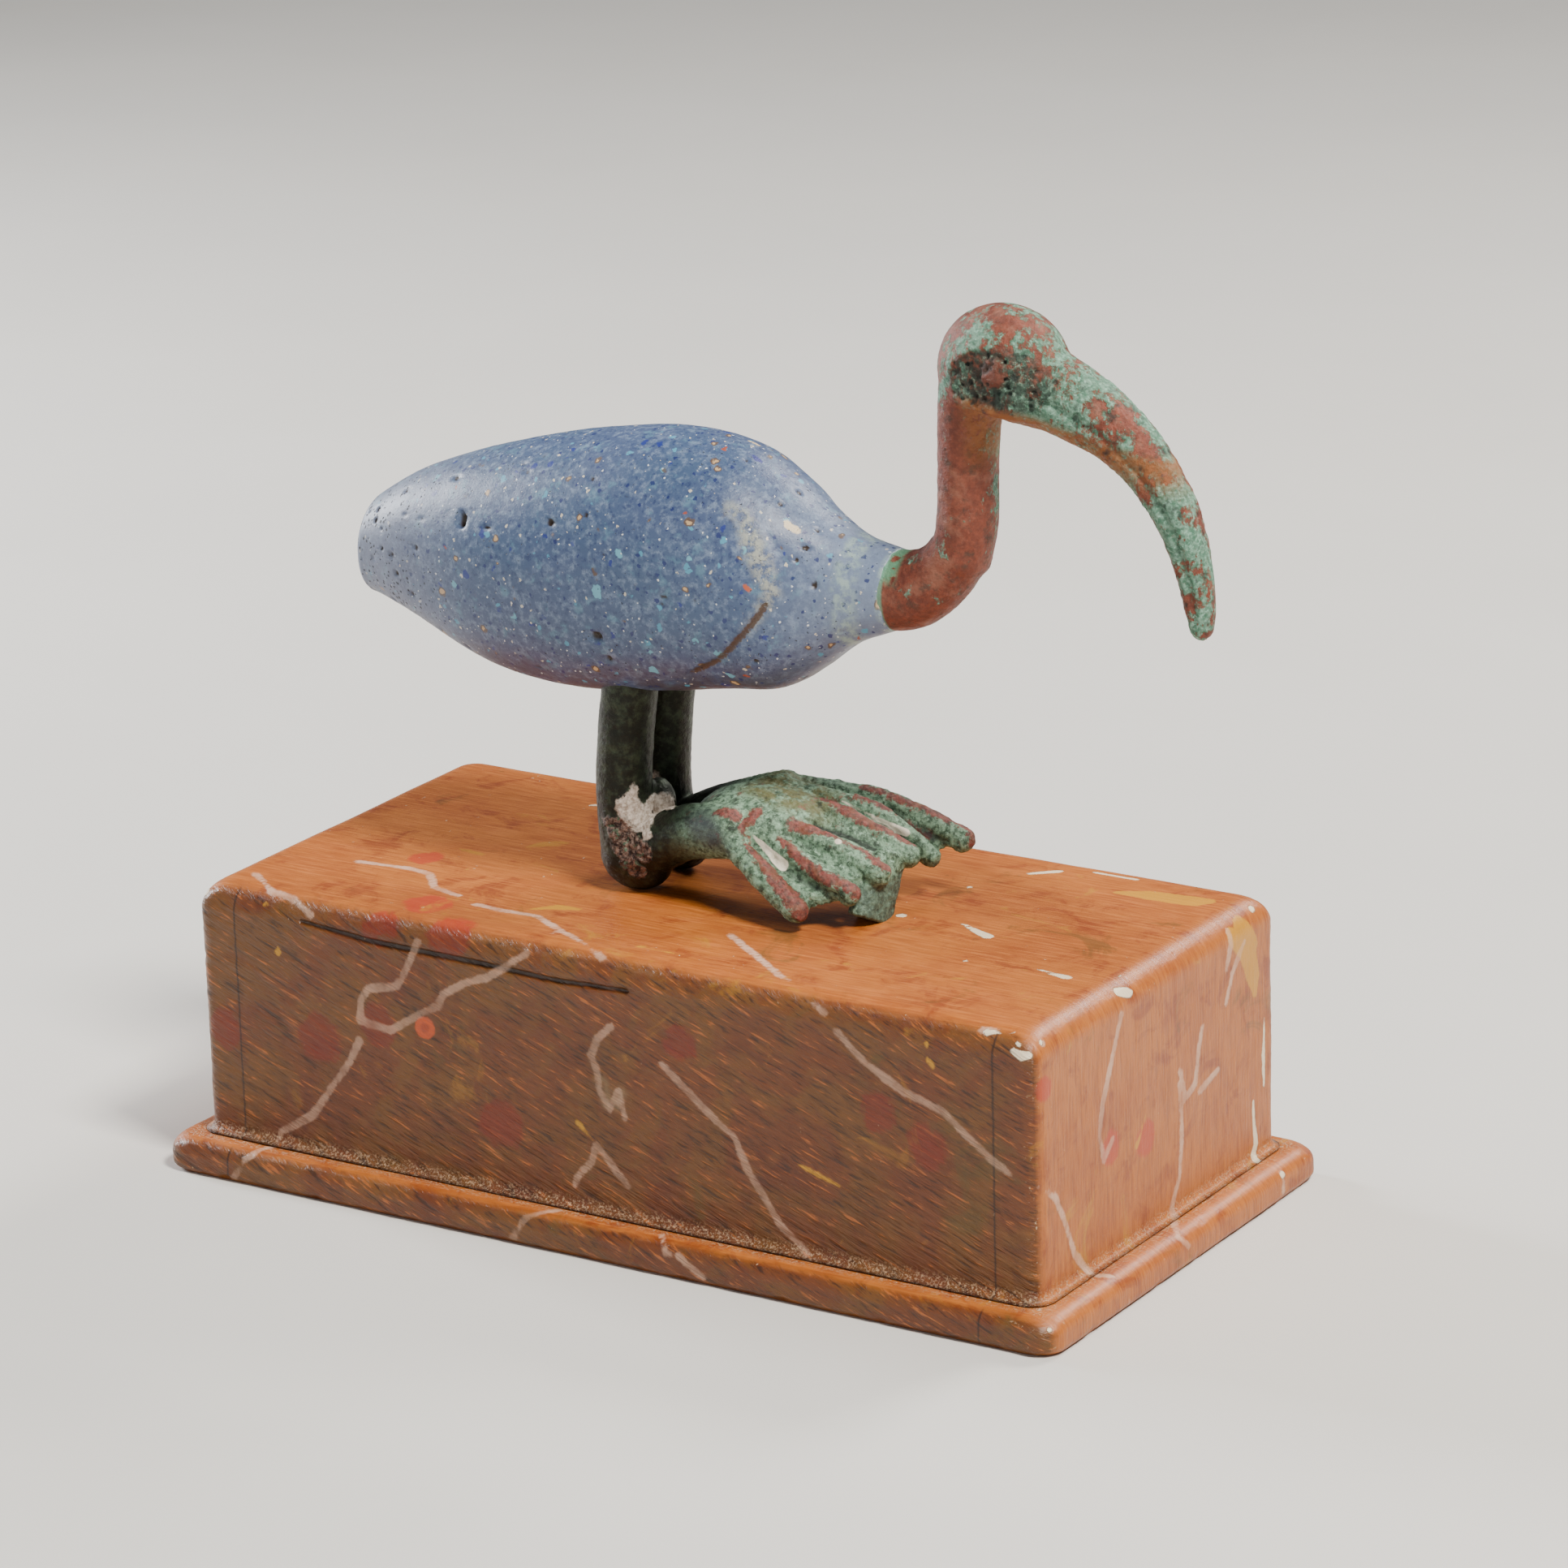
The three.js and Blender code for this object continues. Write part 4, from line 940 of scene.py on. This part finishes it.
class IBIS_OT_head(bpy.types.Operator):
    """Builds the cast head, bill, neck and collar"""

    bl_idname = "ibis.head"
    bl_label = "Head and Neck"

    def execute(self, context):
        sizes, colours = context.scene.ibis_sizes, context.scene.ibis_colours
        skull, faces = egg(HEAD["centre"], HEAD["radii"], 96)
        jaw = JAW["z"] + (skull[:, 0] - JAW["x"]) * JAW["slope"]
        skull[:, 2] = np.maximum(skull[:, 2], jaw)
        piece = mesh_object("head_bronze", [
            sweep(COLLAR, 40, 60, (0, 3)), sweep(NECK, 50, 60, (3, 2)), sweep(BILL, 90, 60, (3, 1.6)), (skull, faces)])
        fuse(piece, sizes.voxel)
        relax(piece, 8)
        points = points_of(piece)
        self.carve(points)
        set_points(piece, points)
        relax(piece, 2)
        points = points_of(piece)
        x, y, z = points.T
        cheek = self.cheek_share(points)
        below = (JAW["z"] + (x - JAW["x"]) * JAW["slope"] + 1.0 - z)
        under = smoothstep(below, -1.2, 0.4) * smoothstep(x, 39, 42) * smoothstep(z, 102, 107)
        rough = 0.55 + cheek * 1.7 + smoothstep(x, 50, 58) * 0.5 - smoothstep(z, 118, 121) * 0.35
        rough *= 1 - 0.6 * smoothstep(-x, -36, -27)
        relief = bumps(points, 1.7, 11, 4) * 0.8 + bumps(points, 0.55, 12, 2) * 0.35
        holes = 1 - smoothstep(pocks(points, 1.3, 13), 0.12, 0.32)
        relief -= holes * (0.3 + cheek * 0.8)
        height = relief * rough * (sizes.corrosion / MM)
        height = np.minimum(height, np.where((z > 123.2) | (x > 72.3), -0.05, 1.0))
        eye = 1 - smoothstep(np.hypot(x - EYE["x"], z - EYE["z"]) / EYE["radius"], 0.75, 1.1)
        store(piece, "relief", relief * rough)
        store(piece, "cheek", cheek)
        store(piece, "eye", eye * cheek)
        store(piece, "under", under)
        push_out(piece, height)
        finish_piece(piece, "head_and_neck", head_finish(colours))
        return {"FINISHED"}

    def cheek_share(self, points):
        x, y, z = points.T
        reach = np.sqrt(((x - CHEEK["x"]) / CHEEK["long"]) ** 2 + ((z - CHEEK["z"]) / CHEEK["high"]) ** 2)
        return (1 - smoothstep(reach, 0.85, 1.05)) * smoothstep(np.abs(y - MIDDLE_Y), 3.0, 4.5)

    def carve(self, points):
        """Sinks the cheeks, raises the eyes, and cuts the groove along each side of the bill."""
        x, y, z = points.T
        out = np.sign(y - MIDDLE_Y)
        side = np.abs(y - MIDDLE_Y)
        share = self.cheek_share(points)
        side = side - share * np.maximum(0, side - CHEEK["half_width"])
        away = np.hypot(x - EYE["x"], z - EYE["z"]) / EYE["radius"]
        side = side + share * EYE["proud"] * np.sqrt(np.clip(1 - away**2, 0, 1))
        line = [(row[0], 0, row[2], 0) for row in catmull(BILL, np.linspace(0.12, 0.93, 60))]
        gap = stroke_gap(points * (1, 0, 1), [line])
        groove = np.exp(-((gap / 0.55) ** 2)) * smoothstep(side, 1.2, 2.2) * smoothstep(x, 49, 52)
        side = side - groove * 0.45
        points[:, 1] = MIDDLE_Y + out * side


class IBIS_OT_legs(bpy.types.Operator):
    """Builds the cast shins, folded feet, toes and tang"""

    bl_idname = "ibis.legs"
    bl_label = "Legs and Feet"

    def execute(self, context):
        sizes, colours = context.scene.ibis_sizes, context.scene.ibis_colours
        piece = mesh_object("legs_bronze", self.shapes())
        fuse(piece, sizes.voxel)
        relax(piece, 9)
        points = points_of(piece)
        x, y, z = points.T
        h = z - BLOCK_TOP
        lower = np.column_stack([x, y, h])
        foot = smoothstep(x, -4, 4)
        marks = {
            "filling": stroke_gap(lower, FILLINGS), "crimson": stroke_gap(lower, CRIMSON),
            "groove": stroke_gap(lower, TOE_GROOVES), "plaster": stroke_gap(lower, PLASTER),
            "crust": stroke_gap(lower, CRUST), "foot": foot,
            "dome": 1 - smoothstep(np.hypot(x - 9.5, (y - 0.5) * 1.3), 4.5, 8.5),
            "painted_sheen": 1 - smoothstep(np.hypot((x - 3.2) / 1.5, h - 11.0 + (x - 3.2) * 0.3), 1.0, 3.4),
            "tang": (1 - smoothstep(h, 4.4, 6.0)) * smoothstep(x, 18.5, 20) * (1 - smoothstep(-y, 6.4, 7.4)),
        }
        # The painted sheen on the instep's shoulder is kept to the near side.
        marks["painted_sheen"] *= smoothstep(-y, 6.5, 8.5)
        plaster = 1 - smoothstep(marks["plaster"] + bumps(lower, 1.1, 21, 3) * 0.5, -0.4, 0.3)
        crust = (1 - smoothstep(marks["crust"], -0.6, 0.7)) * (1 - plaster)
        relief = bumps(points, 1.9, 22, 4) * 0.7 + bumps(points, 0.6, 23, 2) * 0.4
        relief -= (1 - smoothstep(pocks(points, 1.5, 24), 0.1, 0.3)) * 0.6
        rough = 0.45 + foot * 0.9 + crust * 2.2 - plaster * 0.2 - marks["painted_sheen"] * 0.6
        height = relief * rough * (sizes.corrosion / MM) + plaster * 0.2
        height += (1 - smoothstep(marks["filling"], -0.2, 0.3)) * 0.08
        height += (1 - smoothstep(marks["crimson"], -0.4, 0.9)) * 0.16 * foot
        height -= np.exp(-((np.maximum(marks["groove"], 0) / 0.45) ** 2)) * 0.5
        height = np.where(h < 0.4, 0, height)
        for name, values in marks.items():
            store(piece, name, values)
        push_out(piece, height)
        finish_piece(piece, "legs_and_feet", leg_finish(colours))
        return {"FINISHED"}

    def shapes(self):
        shapes = []
        for y in SHIN_Y:
            line = above_block([(x, y, h, SHIN_RADIUS, SHIN_RADIUS) for x, h in SHIN_LINE])
            shapes.append(sweep(line, 50, 48, (3, 0)))
            heel = above_block([(HEEL["x"], y, HEEL["h"])])[0]
            skin, faces = egg(heel, (HEEL["long"], SHIN_RADIUS, HEEL["high"]))
            skin[:, 2] = np.maximum(skin[:, 2], BLOCK_TOP)
            shapes.append((skin, faces))
        for line in INSTEPS:
            stations = above_block([(*p, INSTEP_RADIUS, INSTEP_RADIUS) for p in line])
            shapes.append(sweep(stations, 40, 48, (1, 3)))
        for line, radius in TOES:
            stations = above_block([(*p, radius, radius) for p in line])
            shapes.append(sweep(stations, 50, 28, (1.2, 1.4)))
        shapes.extend(web(a, b) for a, b in zip(TOES, TOES[1:]))
        shapes.append(egg(above_block([SADDLE["centre"]])[0], SADDLE["radii"], 64))
        shapes.append(egg(above_block([REPAIR["centre"]])[0], REPAIR["radii"], 32))
        shapes.append(sweep(above_block(TANG), 30, 48, (0, 0.6)))
        return shapes


class IBIS_OT_plinth(bpy.types.Operator):
    """Builds the painted block and its foot slab"""

    bl_idname = "ibis.plinth"
    bl_label = "Plinth"

    def execute(self, context):
        sizes, colours = context.scene.ibis_sizes, context.scene.ibis_colours
        half_vein = sizes.vein_width / MM
        veins = [[(*p, half_vein) for p in line] for line in VEINS]
        slab_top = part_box("plinth_foot")[1][2] / MM
        for name, node, slot, corner, edges in (
            ("plinth_block_painted", "plinth_block", "block_paint", 2.3, (0.01, 4.0)),
            ("plinth_foot_painted", "plinth_foot", "foot_paint", 3.4, (1.2, 2.6)),
        ):
            low, high = (np.array(c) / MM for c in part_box(node))
            is_block = node == "plinth_block"
            low[2] = slab_top if is_block else low[2]
            spacing = sizes.paint_spacing / MM * np.array([1, 1, 0.4])
            piece = mesh_object(name, [rounded_box(low, high, corner, edges, spacing)])
            points, normals = points_of(piece), normals_of(piece)
            x, y, z = points.T
            front = smoothstep(np.abs(normals[:, 1]), 0.35, 0.75)
            top = smoothstep(normals[:, 2], 0.35, 0.75)
            upright = smoothstep(np.abs(normals[:, 0]), 0.35, 0.75)
            slant = np.column_stack([(x * 0.93 - z * 0.36) / 5, y, (x * 0.36 + z * 0.93) / 0.95])
            standing = np.column_stack([x, y / 0.9, z / 6])
            brush = bumps(slant, 1.0, 34, 2) * front + bumps(standing, 1.0, 35, 2) * upright * 0.4
            height = (bumps(points, 22, 31, 3) - 1) * 0.09 + (brush - 0.8) * (sizes.brush_relief / MM)
            crease = stroke_gap(points, CREASES)
            height -= np.exp(-((np.maximum(crease, 0) / 0.4) ** 2)) * 0.3 * (crease < 2)
            edge_near = np.sort(np.minimum(points - low, high - points), axis=1)[:, 1]
            chipped = (1 - smoothstep(pocks(points, 4, 33), 0.1, 0.28)) * (1 - smoothstep(edge_near, 0.5, 1.8))
            height -= chipped * 0.25
            height = np.minimum(height, -0.01)
            to_block = np.maximum(np.abs(x) - 65.0, np.abs(y) - 31.85)
            cove = (1 - smoothstep(np.abs(to_block - 0.7), 0.5, 2.2)) * (1 - smoothstep(z, 5.6, 7.2)) * (z > 4.4)
            if is_block:
                rise = np.clip(1 - (z - slab_top) / (sizes.cove / MM), 0, 1)
                height = np.where(z > low[2] + 0.02, height, 0) * (1 - rise) + (1 - np.sqrt(1 - rise**2)) * sizes.cove / MM
                height = np.where(normals[:, 2] < -0.9, 0, height)
            else:
                height = np.where(z < low[2] + 0.3, 0, height)
            corner_wear = smoothstep(x, 60, 64) * smoothstep(y, 26, 30) + smoothstep(np.abs(x), 62, 64) * smoothstep(-y, 29, 31)
            store(piece, "top", top)
            store(piece, "front", front)
            store(piece, "vein", stroke_gap(points, veins))
            store(piece, "drop", stroke_gap(points, DROPS))
            store(piece, "yellow", stroke_gap(points, YELLOW))
            store(piece, "faint", stroke_gap(points, FAINT))
            store(piece, "crease", crease)
            store(piece, "ring", np.linalg.norm(points - RING, axis=1))
            store(piece, "red", self.patches(points))
            store(piece, "cove", cove)
            store(piece, "edge", (1 - smoothstep(edge_near, 0.8, 2.0)) * np.minimum(1, corner_wear))
            piece_points = points + normals_flat(normals, is_block & (z < low[2] + 1.2)) * height[:, None]
            set_points(piece, piece_points)
            finish_piece(piece, node, paint_finish(slot, colours))
        return {"FINISHED"}

    def patches(self, points):
        share = np.zeros(len(points))
        for x, y, z, radius in RED:
            away = np.linalg.norm(points - (x, y, z), axis=1)
            share = np.maximum(share, 1 - smoothstep(away, radius * 0.3, radius * 1.2))
        return share


class IBIS_OT_stage(bpy.types.Operator):
    """Sets out the floor, the lights and the camera"""

    bl_idname = "ibis.stage"
    bl_label = "Stage"

    def execute(self, context):
        mesh = bpy.data.meshes.new("floor")
        mesh.from_pydata([(-4, -4, 0), (4, -4, 0), (4, 4, 0), (-4, 4, 0)], [], [(0, 1, 2, 3)])
        floor = bpy.data.objects.new("floor", mesh)
        context.collection.objects.link(floor)
        mesh.materials.append(floor_finish())
        world = context.scene.world or bpy.data.worlds.new("studio")
        context.scene.world = world
        world.use_nodes = True
        world.node_tree.nodes["Background"].inputs["Color"].default_value = (0.9, 0.93, 1.0, 1)
        world.node_tree.nodes["Background"].inputs["Strength"].default_value = 0.16
        self.lamp("key", (0.5, -0.17, 0.8), 0.2, 15, (1.0, 0.96, 0.9))
        self.lamp("back", (0.2, 0.62, 0.6), 0.25, 6, (1.0, 0.97, 0.93))
        self.lamp("rim", (-0.75, 0.05, 0.3), 0.22, 9, (0.95, 0.97, 1.0))
        self.lamp("fill", (-0.1, -1.0, 0.4), 0.6, 2.2, (1.0, 1.0, 1.0))
        self.camera(context.scene)
        return {"FINISHED"}

    def lamp(self, name, place, size, watts, colour):
        light = bpy.data.lights.new(name, "AREA")
        light.size = size
        light.energy = watts
        light.color = colour
        lamp = bpy.data.objects.new(name, light)
        bpy.context.collection.objects.link(lamp)
        lamp.location = place
        lamp.rotation_euler = (Vector((0, 0, 0.07)) - Vector(place)).to_track_quat("-Z", "Y").to_euler()

    def camera(self, scene):
        """The viewing angle, with a slight roll, as a long lens sees the figure."""
        turn, rise, roll = math.radians(32.643), math.radians(17.947), math.radians(-1.5843)
        distance, focal = 0.83968, 7695.23
        back = Vector((math.sin(turn) * math.cos(rise), -math.cos(turn) * math.cos(rise), math.sin(rise)))
        right = Vector((math.cos(turn), math.sin(turn), 0))
        up = back.cross(right)
        right, up = (
            math.cos(roll) * right + math.sin(roll) * up,
            math.cos(roll) * up - math.sin(roll) * right,
        )
        across = (910.61 - 966) * distance / focal
        down = (1442.92 - 966) * distance / focal
        place = back * distance - right * across + up * down
        data = bpy.data.cameras.new("camera")
        data.sensor_width = 36
        data.lens = focal * 36 / 1932
        data.clip_end = 20
        camera = bpy.data.objects.new("camera", data)
        bpy.context.collection.objects.link(camera)
        camera.matrix_world = Matrix.Translation(place) @ Matrix((right, up, back)).transposed().to_4x4()
        scene.camera = camera


class IBIS_PT_panel(bpy.types.Panel):
    """Sizes, colours and pieces of the ibis figure"""

    bl_idname = "IBIS_PT_panel"
    bl_label = "Ibis Figure"
    bl_space_type = "VIEW_3D"
    bl_region_type = "UI"
    bl_category = "Ibis"

    def draw(self, context):
        for group in (context.scene.ibis_sizes, context.scene.ibis_colours):
            for name in group.__annotations__:
                self.layout.prop(group, name)
        for operator in PIECES:
            self.layout.operator(operator.bl_idname)


PIECES = (IBIS_OT_stage, IBIS_OT_plinth, IBIS_OT_body, IBIS_OT_head, IBIS_OT_legs)
CLASSES = (FigureSizes, FigureColours, *PIECES, IBIS_PT_panel)


def register():
    for cls in CLASSES:
        bpy.utils.register_class(cls)
    bpy.types.Scene.ibis_sizes = PointerProperty(type=FigureSizes)
    bpy.types.Scene.ibis_colours = PointerProperty(type=FigureColours)


def unregister():
    del bpy.types.Scene.ibis_colours
    del bpy.types.Scene.ibis_sizes
    for cls in reversed(CLASSES):
        bpy.utils.unregister_class(cls)


def main():
    register()
    for piece in PIECES:
        category, name = piece.bl_idname.split(".")
        getattr(getattr(bpy.ops, category), name)()


if __name__ == "__main__":
    main()
